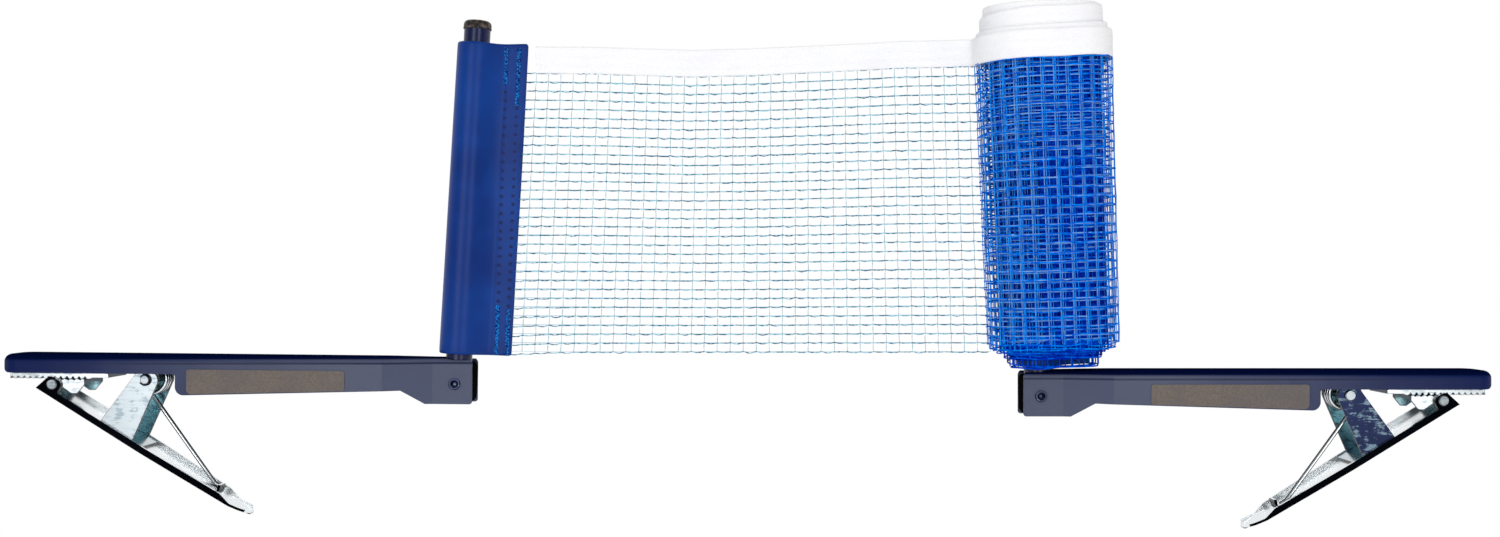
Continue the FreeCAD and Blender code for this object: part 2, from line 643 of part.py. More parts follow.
def make_lever(side):
    """Shallow pressed channel with upturned flanges, two ears for the jaw pin and a thumb rest."""
    label = side + "_lever"
    body = new_body(label)
    far = S["handle_length"]
    ear_top = S["jaw_rise"] + S["jaw_ear_r"]
    ear_back = -S["jaw_back"] - S["jaw_ear_r"] - S["sheet"] / 2
    outline = outlined(body, label + "_side", "XZ_Plane", [
        (length(0), length(0)),
        (-S["jaw_back"] + S["jaw_ear_r"], ear_top, S["jaw_ear_r"] - S["run_gap"] * 4),
        (ear_back, ear_top, S["jaw_ear_r"] - S["run_gap"] * 4),
        (ear_back - S["sheet"] / 2, S["flange"], S["sheet"] / 2),
        (-S["lever_straight"] + S["flange_run"], S["flange"], S["flange"]),
        (-S["lever_straight"], S["sheet"], S["flange"]),
        handle_point(far, S["sheet"]) + (S["sheet"] / 2,),
        handle_point(far + S["sheet"], -S["lip_drop"]) + (S["sheet"] / 3,),
        handle_point(far, -S["lip_drop"]) + (S["sheet"] / 3,),
        handle_point(far - S["sheet"], length(0)),
        (-S["lever_straight"], length(0), S["handle_length"]),
    ])
    pad(body, outline, lever_half * 2, both_ways=True)
    end = S["lever_straight"] + far
    outside = outlined(body, label + "_plan", "XY_Plane", [
        (length(0) + S["sheet"], lever_half),
        (-S["taper_start"], lever_half, end),
        (-end, S["thumb_half"], S["thumb_half"] - S["sheet"]),
        (-end, -S["thumb_half"], S["thumb_half"] - S["sheet"]),
        (-S["taper_start"], -lever_half, end),
        (length(0) + S["sheet"], -lever_half),
    ], offset=-S["lip_drop"] * 2)
    add_outline(outside, [
        (overrun, overrun * 2), (-end - overrun, overrun * 2),
        (-end - overrun, -overrun * 2), (overrun, -overrun * 2),
    ])
    pocket(body, outside, overrun * 4, back=True)
    within = lever_half - S["sheet"]
    inside = outlined(body, label + "_inside", "XY_Plane", [
        (overrun, within),
        (-S["taper_start"], within, end),
        (-end, S["thumb_half"] - S["sheet"]),
        (-end, -S["thumb_half"] + S["sheet"]),
        (-S["taper_start"], -within, end),
        (overrun, -within),
    ], offset=S["sheet"])
    pocket(body, inside, ear_top + overrun, back=True)
    cross_hole(body, label + "_jaw_hole", -S["jaw_back"], S["jaw_rise"], S["jaw_pin_r"] + S["run_gap"] / 2)
    hook = outlined(body, label + "_hook", "XZ_Plane", [
        (-S["hook_back"], S["sheet"] * 0.8),
        (-S["hook_back"] + S["sheet"], S["hook_height"]),
        (-S["hook_back"], S["hook_height"] + S["sheet"] / 2),
        (-S["hook_back"] - S["sheet"], S["sheet"] * 0.8),
    ])
    pad(body, hook, S["hook_half"] * 2, both_ways=True)
    return body


def make_lever_bracket(side):
    """Pair of tall ears on one foot, fixed in the lever's channel, that the lever turns on."""
    label = side + "_lever_bracket"
    body = new_body(label)
    floor = S["sheet"] + S["run_gap"]
    crown = S["lever_pivot_rise"] + S["ear_r"]
    outline = outlined(body, label + "_side", "XZ_Plane", [
        (-S["ear_foot_front"], floor),
        (-S["lever_pivot_back"] + S["ear_r"], crown, S["ear_r"]),
        (-S["lever_pivot_back"] - S["ear_r"], crown, S["ear_r"]),
        (-S["ear_foot_back"], floor + S["sheet"]),
        (-S["ear_foot_back"] - S["ear_tab"], floor + S["sheet"]),
        (-S["ear_foot_back"] - S["ear_tab"], floor),
    ])
    pad(body, outline, S["ear_half"] * 2, both_ways=True)
    between = outlined(body, label + "_between", "XZ_Plane", [
        (overrun - S["ear_foot_front"], floor + S["sheet"]),
        (overrun - S["ear_foot_front"], crown + overrun),
        (-S["ear_foot_back"] - overrun, crown + overrun),
        (-S["ear_foot_back"] - overrun, floor + S["sheet"]),
    ])
    pocket(body, between, (S["ear_half"] - S["sheet"]) * 2, both_ways=True)
    hole_r = S["pivot_r"] + S["run_gap"]
    cross_hole(body, label + "_hole", -S["lever_pivot_back"], S["lever_pivot_rise"], hole_r)
    return body


def make_jaw_pin(side):
    """Rivet of the swivelling jaw, with a domed head outside each of the lever's ears."""
    body = new_body(side + "_jaw_pin")
    face = lever_half + S["run_gap"]
    end = face + S["pin_head"]
    turned_pin(body, body.Name + "_outline", [
        (-end, S["jaw_head_r"] - S["pin_head"] / 2), (-end + S["pin_head"] / 2, S["jaw_head_r"]),
        (-face, S["jaw_head_r"]), (-face, S["jaw_pin_r"]), (face, S["jaw_pin_r"]), (face, S["jaw_head_r"]),
        (end - S["pin_head"] / 2, S["jaw_head_r"]), (end, S["jaw_head_r"] - S["pin_head"] / 2),
    ])
    return body


def make_jaw_pad(side):
    """Swivelling jaw: a toothed plate on two cheeks with a notched rim round the pin and a tapered tail."""
    label = side + "_jaw_pad"
    body = new_body(label)
    half = lever_half - S["sheet"] - S["side_gap"]
    top = length(-float(jaw_place().Base.z)) - S["jaw_gap"]
    disc = new_sketch(body, label + "_disc", "XZ_Plane")
    add_circle(disc, length(0), length(0), S["jaw_disc_r"])
    pad(body, disc, half * 2, both_ways=True)
    notch = outlined(body, label + "_rim_notch", "XZ_Plane", [
        (S["jaw_disc_r"] - S["jaw_tooth_depth"], length(0)),
        (S["jaw_disc_r"] + S["jaw_tooth_depth"], -S["jaw_tooth_depth"] * 1.2),
        (S["jaw_disc_r"] + S["jaw_tooth_depth"], S["jaw_tooth_depth"] * 1.2),
    ])
    cut = pocket(body, notch, S["arm_half"] * 4, both_ways=True)
    repeat(body, cut, "Y_Axis", None, S["rim_notches"], around=True)
    clear = outlined(body, label + "_clear", "XZ_Plane", [
        (-overrun, S["sheet"] / 2), (overrun, S["sheet"] / 2), (overrun, overrun), (-overrun, overrun)])
    pocket(body, clear, S["arm_half"] * 4, both_ways=True)
    side_view = outlined(body, label + "_side", "XZ_Plane", [
        (top, top, top - S["run_gap"]),
        (-S["jaw_tail"], top, S["sheet"] / 2),
        (-S["jaw_tail"], top - S["sheet"] * 2),
        (-S["jaw_tail"] + S["jaw_tail_drop"] * 0.8, -S["jaw_tail_drop"]),
        (-S["jaw_tail"] + S["jaw_tail_drop"] * 1.4, -S["jaw_tail_drop"]),
        (-S["jaw_disc_r"], -S["sheet"]),
        (top, -S["sheet"]),
    ])
    pad(body, side_view, half * 2, both_ways=True)
    under_plate = outlined(body, label + "_hollow", "XZ_Plane", [
        (-S["jaw_tail"] - overrun, -S["jaw_tail"]),
        (overrun, -S["jaw_tail"]),
        (overrun, top - S["sheet"] - S["jaw_tooth_depth"]),
        (-S["jaw_tail"] - overrun, top - S["sheet"] - S["jaw_tooth_depth"]),
    ])
    pocket(body, under_plate, (half - S["sheet"]) * 2, both_ways=True)
    start = -S["jaw_tail"] + S["tooth_flat"]
    valley = outlined(body, label + "_valley", "XZ_Plane", [
        (start, top + S["sheet"]), (start, top),
        (start + (S["tooth_pitch"] - S["tooth_flat"]) / 2, top - S["jaw_tooth_depth"], S["tooth_flat"] / 3),
        (start + S["tooth_pitch"] - S["tooth_flat"], top),
        (start + S["tooth_pitch"] - S["tooth_flat"], top + S["sheet"]),
    ])
    teeth = pocket(body, valley, S["arm_half"] * 4, both_ways=True)
    repeat(body, teeth, "X_Axis", S["tooth_pitch"] * 4, length(5))
    cross_hole(body, label + "_hole", length(0), length(0), S["jaw_pin_r"] + S["run_gap"])
    return body


def make_foot_block(side):
    """Moulded block at the foot of the post: it turns on the rivet between the walls and plugs the tube."""
    label = side + "_foot_block"
    body = new_body(label)
    half_y = knuckle_inner - S["side_gap"]
    outline = outlined(body, label + "_side", "XZ_Plane", [
        (-S["block_half"], -S["block_base"], S["sheet"] * 2.5),
        (S["block_half"], -S["block_base"], S["sheet"] * 2.5),
        (S["block_half"], S["tube_start"], S["block_half"] - S["run_gap"] * 4),
        (-S["block_half"], S["tube_start"], S["sheet"] * 2),
    ])
    pad(body, outline, half_y * 2, both_ways=True)
    spigot = new_sketch(body, label + "_spigot", "XY_Plane")
    add_circle(spigot, length(0), length(0), S["tube_r"] - S["tube_wall"] - S["run_gap"])
    pad(body, spigot, S["tube_start"] + S["spigot"])
    cross_hole(body, label + "_hole", length(0), length(0), S["foot_pin_r"] + S["run_gap"])
    return body


def make_post_tube(side):
    label = side + "_post_tube"
    body = new_body(label)
    ring = new_sketch(body, label + "_ring", "XY_Plane", offset=S["tube_start"] + S["run_gap"])
    add_circle(ring, length(0), length(0), S["tube_r"])
    add_circle(ring, length(0), length(0), S["tube_r"] - S["tube_wall"])
    pad(body, ring, S["post_length"] - S["tube_start"] - S["run_gap"])
    return body


def make_post_cap(side):
    """Domed push-in cap with a slightly wider rim and a plug inside the tube."""
    label = side + "_post_cap"
    body = new_body(label)
    seat = S["post_length"] + S["run_gap"]
    plug = S["tube_r"] - S["tube_wall"] - S["run_gap"]
    crown = S["post_length"] + S["cap_height"]
    half = outlined(body, label + "_half", "XZ_Plane", [
        (length(0), seat - S["cap_height"] * 2),
        (plug, seat - S["cap_height"] * 2),
        (plug, seat),
        (S["cap_rim_r"], seat),
        (S["cap_rim_r"] - S["run_gap"] * 6, crown, S["cap_height"] / 2),
        (length(0), crown),
    ])
    revolve(body, half, "Z_Axis")
    return body


def make_sleeve(side):
    """Vinyl sleeve: a loose tube on the post that runs into the flat flap the net is sewn to."""
    label = side + "_sleeve"
    body = new_body(label)
    way = -1 if side == "left" else 1
    rise = S["sleeve_end"] - S["sleeve_start"]
    inner = S["tube_r"] + S["sleeve_gap"]
    outer = inner + S["sleeve_wall"]
    waist = S["tube_wall"] * 3
    fold = S["flap_half"] * 4
    skin = outlined(body, label + "_skin", "XY_Plane", [
        (-outer * way, outer, outer - S["run_gap"]),
        (-outer * way, -outer, outer - S["run_gap"]),
        (waist * way, -outer, outer),
        (S["flap_start"] * way, -S["flap_half"], fold),
        (S["sleeve_flap"] * way, -S["flap_half"]),
        (S["sleeve_flap"] * way, S["flap_half"]),
        (S["flap_start"] * way, S["flap_half"], fold),
        (waist * way, outer, outer),
    ], offset=S["sleeve_start"])
    pad(body, skin, rise)
    bore = outlined(body, label + "_bore", "XY_Plane", [
        (-inner * way, inner, inner - S["run_gap"]),
        (-inner * way, -inner, inner - S["run_gap"]),
        (waist * way, -inner, inner),
        ((S["flap_start"] - S["sleeve_wall"]) * way, length(0), S["flap_half"]),
        (waist * way, inner, inner),
    ], offset=S["sleeve_start"])
    pocket(body, bore, rise, back=True)
    return body


def biarc(start, start_way, end, end_way):
    """Two arcs that join two points with the given directions."""
    chord = end - start
    ways = start_way + end_way
    a = 2 * (1 - start_way.dot(end_way))
    b = 2 * chord.dot(ways)
    c = -chord.dot(chord)
    reach = -c / b if abs(a) < 1e-9 else (-b + math.sqrt(b * b - 4 * a * c)) / (2 * a)
    first = start + start_way * reach
    second = end - end_way * reach
    joint = (first + second) * 0.5
    return [arc_by_apex(start, first, joint), arc_by_apex(joint, second, end)]


def arc_by_apex(start, apex, end):
    """The arc from start to end whose end tangents meet at the apex."""
    middle = (start + end) * 0.5
    half_chord = (end - start).Length / 2
    lean = (apex - start).getAngle(end - start)
    crown = middle + (apex - middle).normalize() * half_chord * math.tan(lean / 2)
    return Part.Arc(start, crown, end).toShape()


def spring_path():
    """Centre line of the wire in the clamp's frame: thumb rest, leg, coil, leg under the web."""
    pivot = Vector(float(pivot_u), 0, -float(S["pivot_drop"]))
    radius, pitch = float(S["coil_r"]), float(S["coil_pitch"])
    rest = float(S["wire"]) / 2 + float(S["sheet"]) + float(S["run_gap"])
    foot_x = -float(S["spring_foot"])
    place = lever_place()
    knee = place.multVec(Vector(foot_x, 0, rest))
    tip = place.multVec(Vector(foot_x - float(S["foot_run"]), 0, rest))
    to_pivot = pivot - knee
    spread = math.asin(radius / to_pivot.Length)
    heading = math.atan2(to_pivot.z, to_pivot.x) - spread
    start_angle = heading - math.pi / 2
    top_rise = float(web_under) - float(S["wire"]) / 2 - float(S["run_gap"]) * 2 - (pivot.z + radius)
    leave = math.atan2(top_rise, float(S["upper_leg"]))
    end_angle = math.pi / 2 - leave
    sweep = end_angle - start_angle + 2 * math.pi * int(float(S["coil_turns"]))
    steps = math.ceil(sweep / math.pi)
    width = pitch * sweep / (2 * math.pi)

    def on_coil(share):
        angle = start_angle + sweep * share
        flat = Vector(math.cos(angle), 0, math.sin(angle))
        point = pivot + flat * radius + Vector(0, width * (share - 0.5), 0)
        slope = 0 if share in (0, 1) else pitch / (2 * math.pi)
        way = Vector(-math.sin(angle) * radius, slope, math.cos(angle) * radius).normalize()
        return point, way

    side = Vector(0, -width / 2, 0)
    first, first_way = on_coil(0)
    knee, tip = knee + side, tip + side
    bend = float(S["wire"]) * 1.2
    run_up = (first - knee).normalize()
    run_in = (tip - knee).normalize()
    trim = bend / math.tan(run_up.getAngle(run_in) / 2)
    bend_start, bend_end = knee + run_in * trim, knee + run_up * trim
    edges = [Part.LineSegment(tip, bend_start).toShape(), arc_by_apex(bend_start, knee, bend_end)]
    edges.append(Part.LineSegment(bend_end, first).toShape())
    point, way = first, first_way
    for step in range(1, steps + 1):
        next_point, next_way = on_coil(1 if step == steps else step / steps)
        edges += biarc(point, way, next_point, next_way)
        point, way = next_point, next_way
    last = point + way * float(S["upper_leg"])
    edges.append(Part.LineSegment(point, last).toShape())
    return edges, pitch - float(S["wire"])


def make_spring(side):
    """Torsion spring of round wire as one unbroken tube."""
    edges, turn_gap = spring_path()
    path = Part.Wire(edges)
    tip = path.OrderedVertexes[0].Point
    way = (path.OrderedVertexes[1].Point - tip).normalize()
    section = Part.Wire([Part.Circle(tip, way, float(S["wire"]) / 2).toShape()])
    tube = path.makePipeShell([section], True, False)
    expected = math.pi * (float(S["wire"]) / 2) ** 2 * path.Length
    samples = path.discretize(Number=600)
    apart = float(S["wire"]) * 3
    spacing = path.Length / 600
    skip = int(apart / spacing) + 1
    least = min(a.distanceToPoint(b) for i, a in enumerate(samples) for b in samples[i + skip::2])
    print("%s spring: volume %.2f against %.2f, pitch gap %.2f, least gap to itself %.2f"
          % (side, tube.Volume, expected, turn_gap, least - float(S["wire"])))
    spring = doc.addObject("Part::Feature", side + "_spring")
    spring.Label = side + "_spring"
    spring.Shape = tube
    return spring


def spiral_side(first, last, shift):
    """One side of the rolled sheet in plan, from half wrap first to half wrap last."""
    half = float(S["roll_pitch"]) / 2
    core = float(S["roll_core_r"]) + shift
    length_x = float(S["roll_core_length"])
    edges = []
    for k in range(first, last):
        near, far = core + k * half, core + (k + 1) * half
        sign = 1 if k % 2 == 0 else -1
        centre_x = length_x if k % 2 == 0 else 0
        radius = (near + far) / 2
        start = Vector(centre_x, sign * near, 0)
        crown = Vector(centre_x + sign * radius, sign * (near - far) / 2, 0)
        end = Vector(centre_x, -sign * far, 0)
        edges.append(Part.Arc(start, crown, end).toShape())
        if k + 1 < last:
            run_end = Vector(length_x - centre_x, -sign * far, 0)
            edges.append(Part.LineSegment(end, run_end).toShape())
    return edges


def spiral_sheet(first, last, thickness, low, high):
    """A rolled sheet of the given thickness between two heights on the post."""
    inner = Part.Wire(spiral_side(first, last, -thickness / 2))
    outer = Part.Wire(spiral_side(first, last, thickness / 2))
    tips = [(inner.OrderedVertexes[i].Point, outer.OrderedVertexes[i].Point) for i in (0, -1)]
    ends = [Part.LineSegment(near, far).toShape() for near, far in tips]
    face = Part.Face(Part.Wire(Part.__sortEdges__(inner.Edges + outer.Edges + ends)))
    face.translate(Vector(0, 0, low))
    return face.extrude(Vector(0, 0, high - low))


def make_roll(name, thickness, groups):
    """Joins the wraps that have slipped to different heights into one rolled piece."""
    solids = [spiral_sheet(first, last, thickness, low, high) for first, last, low, high in groups]
    roll = doc.addObject("Part::Feature", name)
    roll.Label = name
    roll.Shape = Part.makeCompound(solids)
    return roll


def roll_groups():
    """Half wraps of each slipped group with its slip."""
    inner = 2 * int(float(S["inner_wraps"]))
    middle = inner + 2 * int(float(S["middle_wraps"]))
    outer = 2 * int(float(S["roll_wraps"]))
    return [(0, inner, float(S["roll_slip"])), (inner, middle, float(S["middle_slip"])),
            (middle, outer, 0.0)]


def make_net_roll():
    groups = []
    for number, (first, last, slip) in enumerate(roll_groups()):
        low = float(S["roll_inner_bottom"] if number < 2 else S["roll_outer_bottom"])
        groups.append((first, last, low, float(S["roll_outer_top"]) + slip))
    return make_roll("net_roll", float(S["roll_sheet"]), groups)


def make_roll_band():
    groups = []
    for first, last, slip in roll_groups():
        low = float(S["roll_outer_top"]) + slip + float(S["run_gap"])
        groups.append((first, last, low, low + float(S["band_height"])))
    return make_roll("roll_band", float(S["roll_band_sheet"]), groups)


def net_left(z):
    """Edge of the left flap at a height: the net starts there."""
    foot = foot_pin("left")
    lean = math.radians(float(S["left_lean"]))
    reach = float(S["sleeve_flap"]) / math.cos(lean) + float(S["run_gap"])
    return foot.x + reach + (z - foot.z) * math.tan(lean)


def net_right(z):
    """Side of the roll that faces the net at a height: the flat net ends there."""
    foot = foot_pin("right")
    lean = math.radians(float(S["right_lean"]))
    reach = float(S["roll_core_r"]) + float(S["roll_pitch"]) * float(S["roll_wraps"]) + float(S["side_gap"])
    return foot.x - reach / math.cos(lean) - (z - foot.z) * math.tan(lean)


def band_arc(rise, start):
    """Edge of the sagging band as an arc, raised by a height."""
    left, right = float(S["band_left"]) + rise, float(S["band_right"]) + rise
    x0, x1 = net_left(left) + start, net_right(right)
    middle = Vector((x0 + x1) / 2, 0, (left + right) / 2 - float(S["band_sag"]))
    return Part.Arc(Vector(x0, 0, left), middle, Vector(x1, 0, right))


def band_z(x):
    """Height of the band's lower edge at x, on a parabola through the same three points."""
    left, right = float(S["band_left"]), float(S["band_right"])
    x0, x1 = net_left(left), net_right(right)
    share = (x - x0) / (x1 - x0)
    return left + (right - left) * share - 4 * float(S["band_sag"]) * share * (1 - share)


def plate_between(name, outline, holes, thickness):
    """A flat holed sheet of the given thickness, centred on the net's plane."""
    face = Part.makeFace([outline] + holes, "Part::FaceMakerCheese")
    face.translate(Vector(0, -thickness / 2, 0))
    sheet = doc.addObject("Part::Feature", name)
    sheet.Label = name
    sheet.Shape = face.extrude(Vector(0, thickness, 0))
    return sheet


def make_net_mesh():
    """Netting between the left flap and the roll, with fewer and larger gaps than the real mesh."""
    columns, rows = int(float(S["mesh_columns"])), int(float(S["mesh_rows"]))
    bottom, cord = float(S["mesh_bottom"]), float(S["cord_width"])

    def at(across, up):
        low_x = net_left(bottom) + (net_right(bottom) - net_left(bottom)) * across
        top_left, top_right = net_left(float(S["band_left"])), net_right(float(S["band_right"]))
        high_x = top_left + (top_right - top_left) * across
        x = low_x + (high_x - low_x) * up
        return Vector(x, 0, bottom + (band_z(x) - float(S["run_gap"]) - bottom) * up)

    def loop(points):
        return Part.makePolygon(points + points[:1])

    edge = [at(k / columns, 0) for k in range(columns + 1)]
    edge += [at(k / columns, 1) for k in range(columns, -1, -1)]
    margin_x = cord / 2 / (net_right(bottom) - net_left(bottom))
    margin_z = cord / 2 / (float(S["band_left"]) - bottom)
    holes = []
    for i in range(columns):
        for j in range(rows):
            low_a, high_a = i / columns + margin_x, (i + 1) / columns - margin_x
            low_u, high_u = j / rows + margin_z, (j + 1) / rows - margin_z
            holes.append(loop([at(low_a, low_u), at(high_a, low_u), at(high_a, high_u), at(low_a, high_u)]))
    return plate_between("net_mesh", loop(edge), holes, float(S["mesh_thick"]))


def make_net_top_band():
    """White band folded over the top of the net."""
    low = band_arc(0, float(S["band_start"]))
    high = band_arc(float(S["band_height"]), float(S["band_start"]))
    ends = [Part.LineSegment(getattr(low, end), getattr(high, end)) for end in ("StartPoint", "EndPoint")]
    edges = [curve.toShape() for curve in [low, high] + ends]
    outline = Part.Wire(Part.__sortEdges__(edges))
    return plate_between("net_top_band", outline, [], float(S["band_thick"]))


CLAMP_PIECES = [make_arm, make_label, make_grip_strip, make_foot_rivet, make_pivot_bracket, make_pivot_pin,
                make_pivot_clip, make_lever, make_lever_bracket, make_jaw_pin, make_jaw_pad, make_spring]
POST_PIECES = [make_foot_block, make_post_tube, make_post_cap, make_sleeve]
FOOT_PLACE = FreeCAD.Placement(Vector(0, 0, -float(S["foot_pin_drop"])), FreeCAD.Rotation())
PIVOT_PLACE = FreeCAD.Placement(Vector(float(pivot_u), 0, -float(S["pivot_drop"])), FreeCAD.Rotation())
OWN_PLACE = {make_foot_rivet: FOOT_PLACE, make_pivot_pin: PIVOT_PLACE, make_pivot_clip: PIVOT_PLACE,
             make_lever: lever_place(), make_lever_bracket: lever_place(), make_jaw_pin: jaw_place(),
             make_jaw_pad: jaw_place()}

parts = []
for side in ("left", "right"):
    for make in CLAMP_PIECES:
        piece = make(side)
        piece.Placement = clamp_frame(side).multiply(OWN_PLACE.get(make, FreeCAD.Placement()))
        parts.append(piece)
    for make in POST_PIECES:
        piece = make(side)
        piece.Placement = post_frame(side)
        parts.append(piece)
for make in (make_net_roll, make_roll_band):
    piece = make()
    piece.Placement = post_frame("right")
    parts.append(piece)
parts += [make_net_mesh(), make_net_top_band()]
doc.recompute()

for item in doc.Objects:
    if "Invalid" in item.State or "Error" in item.State:
        raise RuntimeError("%s failed: %s" % (item.Label, item.State))
for piece in parts:
    if piece.Shape.isNull() or not piece.Shape.isValid():
        raise RuntimeError("%s has no valid shape" % piece.Label)

os.makedirs("parts", exist_ok=True)
for piece in parts:
    piece.Shape.exportStep("parts/%s.step" % piece.Label)
print("wrote %d parts" % len(parts))
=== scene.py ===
# %% [markdown]
# # A table tennis net set with two spring clip clamps
# The net is half rolled up on the right post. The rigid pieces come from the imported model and
# get their finishes here. The soft pieces, that is the two sleeves, the netting, the tape and
# the roll, are drawn here, the nets cord by cord. The frame is in metres, +Z is up, and the
# camera looks along +Y.

# %% Load the frame
import json
import math
import random

import bpy
import numpy as np
from mathutils import Matrix, Vector


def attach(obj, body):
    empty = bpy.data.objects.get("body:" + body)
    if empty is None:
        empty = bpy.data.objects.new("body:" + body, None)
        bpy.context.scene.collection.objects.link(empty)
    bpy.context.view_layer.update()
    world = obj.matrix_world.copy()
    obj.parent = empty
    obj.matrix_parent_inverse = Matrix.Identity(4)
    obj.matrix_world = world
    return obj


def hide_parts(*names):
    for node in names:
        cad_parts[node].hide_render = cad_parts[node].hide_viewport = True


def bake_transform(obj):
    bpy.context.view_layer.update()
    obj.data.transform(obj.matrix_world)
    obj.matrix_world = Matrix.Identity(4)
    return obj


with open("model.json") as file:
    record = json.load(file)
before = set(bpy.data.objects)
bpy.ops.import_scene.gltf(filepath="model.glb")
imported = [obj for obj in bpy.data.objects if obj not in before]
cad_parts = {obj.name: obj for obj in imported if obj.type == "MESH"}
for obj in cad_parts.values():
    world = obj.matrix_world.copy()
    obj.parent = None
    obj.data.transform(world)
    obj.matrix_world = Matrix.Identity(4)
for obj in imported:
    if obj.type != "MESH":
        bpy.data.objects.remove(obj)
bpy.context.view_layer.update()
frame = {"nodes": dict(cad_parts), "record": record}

# %% [markdown]
# ## Shader sums written as Python
# A finish is a small graph of nodes. Placing each node by hand makes long, dull code, so one
# class wraps a socket and gives it the arithmetic operators. `1 - mask` then adds its Math node
# by itself. Every other node comes from one method, `node`, which sets the node's own settings
# first and its sockets after them.


# %% Signals and finishes
class Signal:
    """An output socket of one finish that can be used in sums like a number."""

    def __init__(self, finish, socket):
        self.finish = finish
        self.socket = socket

    def maths(self, operation, first, second):
        return self.finish.maths(operation, first, second)

    def __add__(self, other):
        return self.maths("ADD", self, other)

    def __radd__(self, other):
        return self.maths("ADD", other, self)

    def __sub__(self, other):
        return self.maths("SUBTRACT", self, other)

    def __rsub__(self, other):
        return self.maths("SUBTRACT", other, self)

    def __mul__(self, other):
        return self.maths("MULTIPLY", self, other)

    def __rmul__(self, other):
        return self.maths("MULTIPLY", other, self)

    def __truediv__(self, other):
        return self.maths("DIVIDE", self, other)

    def under(self, limit):
        """1 where the signal is below the limit, and 0 elsewhere."""
        return self.maths("LESS_THAN", self, limit)

    def most(self, other):
        """The larger of two signals."""
        return self.maths("MAXIMUM", self, other)

    def far(self):
        """How far the signal is from 0, on either side."""
        return self.maths("ABSOLUTE", self, 0.0)

    def ease(self, low, high):
        """0 below low, 1 above high and smooth in between."""
        settings = {"interpolation_type": "SMOOTHSTEP"}
        return self.finish.node("ShaderNodeMapRange", settings, {0: self, 1: low, 2: high})


def paint(red, green, blue):
    """A colour as read off a picture, 0 to 255, turned into Blender's linear one."""
    def linear(level):
        level = level / 255
        return level / 12.92 if level <= 0.04045 else ((level + 0.055) / 1.055) ** 2.4

    return (linear(red), linear(green), linear(blue), 1.0)


class Finish:
    """One material and the nodes that make it."""

    def __init__(self, name, colour, roughness, **constants):
        self.material = bpy.data.materials.new(name)
        self.material.use_nodes = True
        self.tree = self.material.node_tree
        self.shader = self.tree.nodes["Principled BSDF"]
        self.place = self.tree.nodes.new("ShaderNodeTexCoord")
        self.set("Base Color", colour)
        self.set("Roughness", roughness)
        for socket, value in constants.items():
            self.set(socket.replace("_", " "), value)

    def maths(self, operation, first, second):
        return self.node("ShaderNodeMath", {"operation": operation}, {0: first, 1: second})

    def node(self, kind, settings=None, inputs=None, output=0):
        """Adds a node, with its settings first and its sockets after them."""
        made = self.tree.nodes.new(kind)
        for key, value in (settings or {}).items():
            setattr(made, key, value)
        for key, value in (inputs or {}).items():
            self.feed(made.inputs[key], value)
        return Signal(self, made.outputs[output])

    def feed(self, socket, value):
        if isinstance(value, Signal):
            self.tree.links.new(value.socket, socket)
        else:
            socket.default_value = value

    def set(self, socket, value):
        self.feed(self.shader.inputs[socket], value)

    def where(self):
        """The place on the piece, in metres."""
        return Signal(self, self.place.outputs["Object"])

    def facing(self):
        """The piece's own normal."""
        return Signal(self, self.place.outputs["Normal"])

    def edges(self, width):
        """1 within about width metres of the piece's sharp edges, and 0 elsewhere."""
        softened = self.node("ShaderNodeBevel", {"samples": 6}, {"Radius": width})
        true = self.node("ShaderNodeNewGeometry", None, None, output="True Normal")
        settings = {"operation": "DOT_PRODUCT"}
        same = self.node("ShaderNodeVectorMath", settings, {0: softened, 1: true}, output="Value")
        return 1 - same.ease(0.86, 0.985)

    def parts_of(self, vector):
        split = self.tree.nodes.new("ShaderNodeSeparateXYZ")
        self.feed(split.inputs[0], vector)
        return [Signal(self, split.outputs[i]) for i in range(3)]

    def blend(self, share, first, second):
        settings = {"data_type": "RGBA"}
        inputs = {0: share, 6: first, 7: second}
        return self.node("ShaderNodeMix", settings, inputs, output=2)

    def stretched(self, vector, scale):
        """The vector with each of its parts multiplied."""
        settings = {"operation": "MULTIPLY"}
        return self.node("ShaderNodeVectorMath", settings, {0: vector, 1: scale})

    def noise(self, vector, scale, detail=3.0, roughness=0.55):
        inputs = {"Vector": vector, "Scale": scale, "Detail": detail, "Roughness": roughness}
        return self.node("ShaderNodeTexNoise", {"noise_dimensions": "3D"}, inputs)

    def bump(self, height, depth):
        """Raises the surface by height, from 0 to 1, times depth in metres."""
        inputs = {"Height": height, "Distance": depth, "Strength": 1.0}
        self.set("Normal", self.node("ShaderNodeBump", None, inputs))

    def wave(self, count):
        """0.5 where count is a whole number, and 0 halfway between two of them."""
        return (self.maths("FRACT", count, 0.0) - 0.5).far()


WHITE = (1.0, 1.0, 1.0, 1.0)
print("signals and finishes are ready")

# %% [markdown]
# ## Dressing the rigid pieces
# A rigid piece already has its true shape, so it only needs its material. The helper takes the
# node's name and a finish, and gives the whole piece that finish.


# %% Fill a node's slots
def dress(node, finish):
    mesh = frame["nodes"][node].data
    mesh.materials.clear()
    mesh.materials.append(finish.material)
    for polygon in mesh.polygons:
        polygon.material_index = 0


SIDES = ("left", "right")
joint_facts = {joint["name"]: joint for joint in frame["record"]["behaviour"]["joints"]}
print("joints:", ", ".join(sorted(joint_facts)))

# %% [markdown]
# ## Gloss navy enamel
# The arms and the posts are stoved with a dark navy enamel. Towards the nose it shows its own
# dark blue, and over the broad walls a grey painted reflection lightens it. Both shades lie
# along the arm, so the mask comes from the arm's own x. A painted dark line under the top bend
# and a painted dark crown come from its z, and sharp edges get a painted dark line too. The
# gloss coat is on the walls only, because the web mirrors the white studio above it. A fine
# noise gives the slight orange peel of sprayed enamel.

# %% Enamel
# width of the painted dark line along sharp edges
EDGE_SHADE_WIDTH = 0.0005
FINE_GRAIN = 0.00003


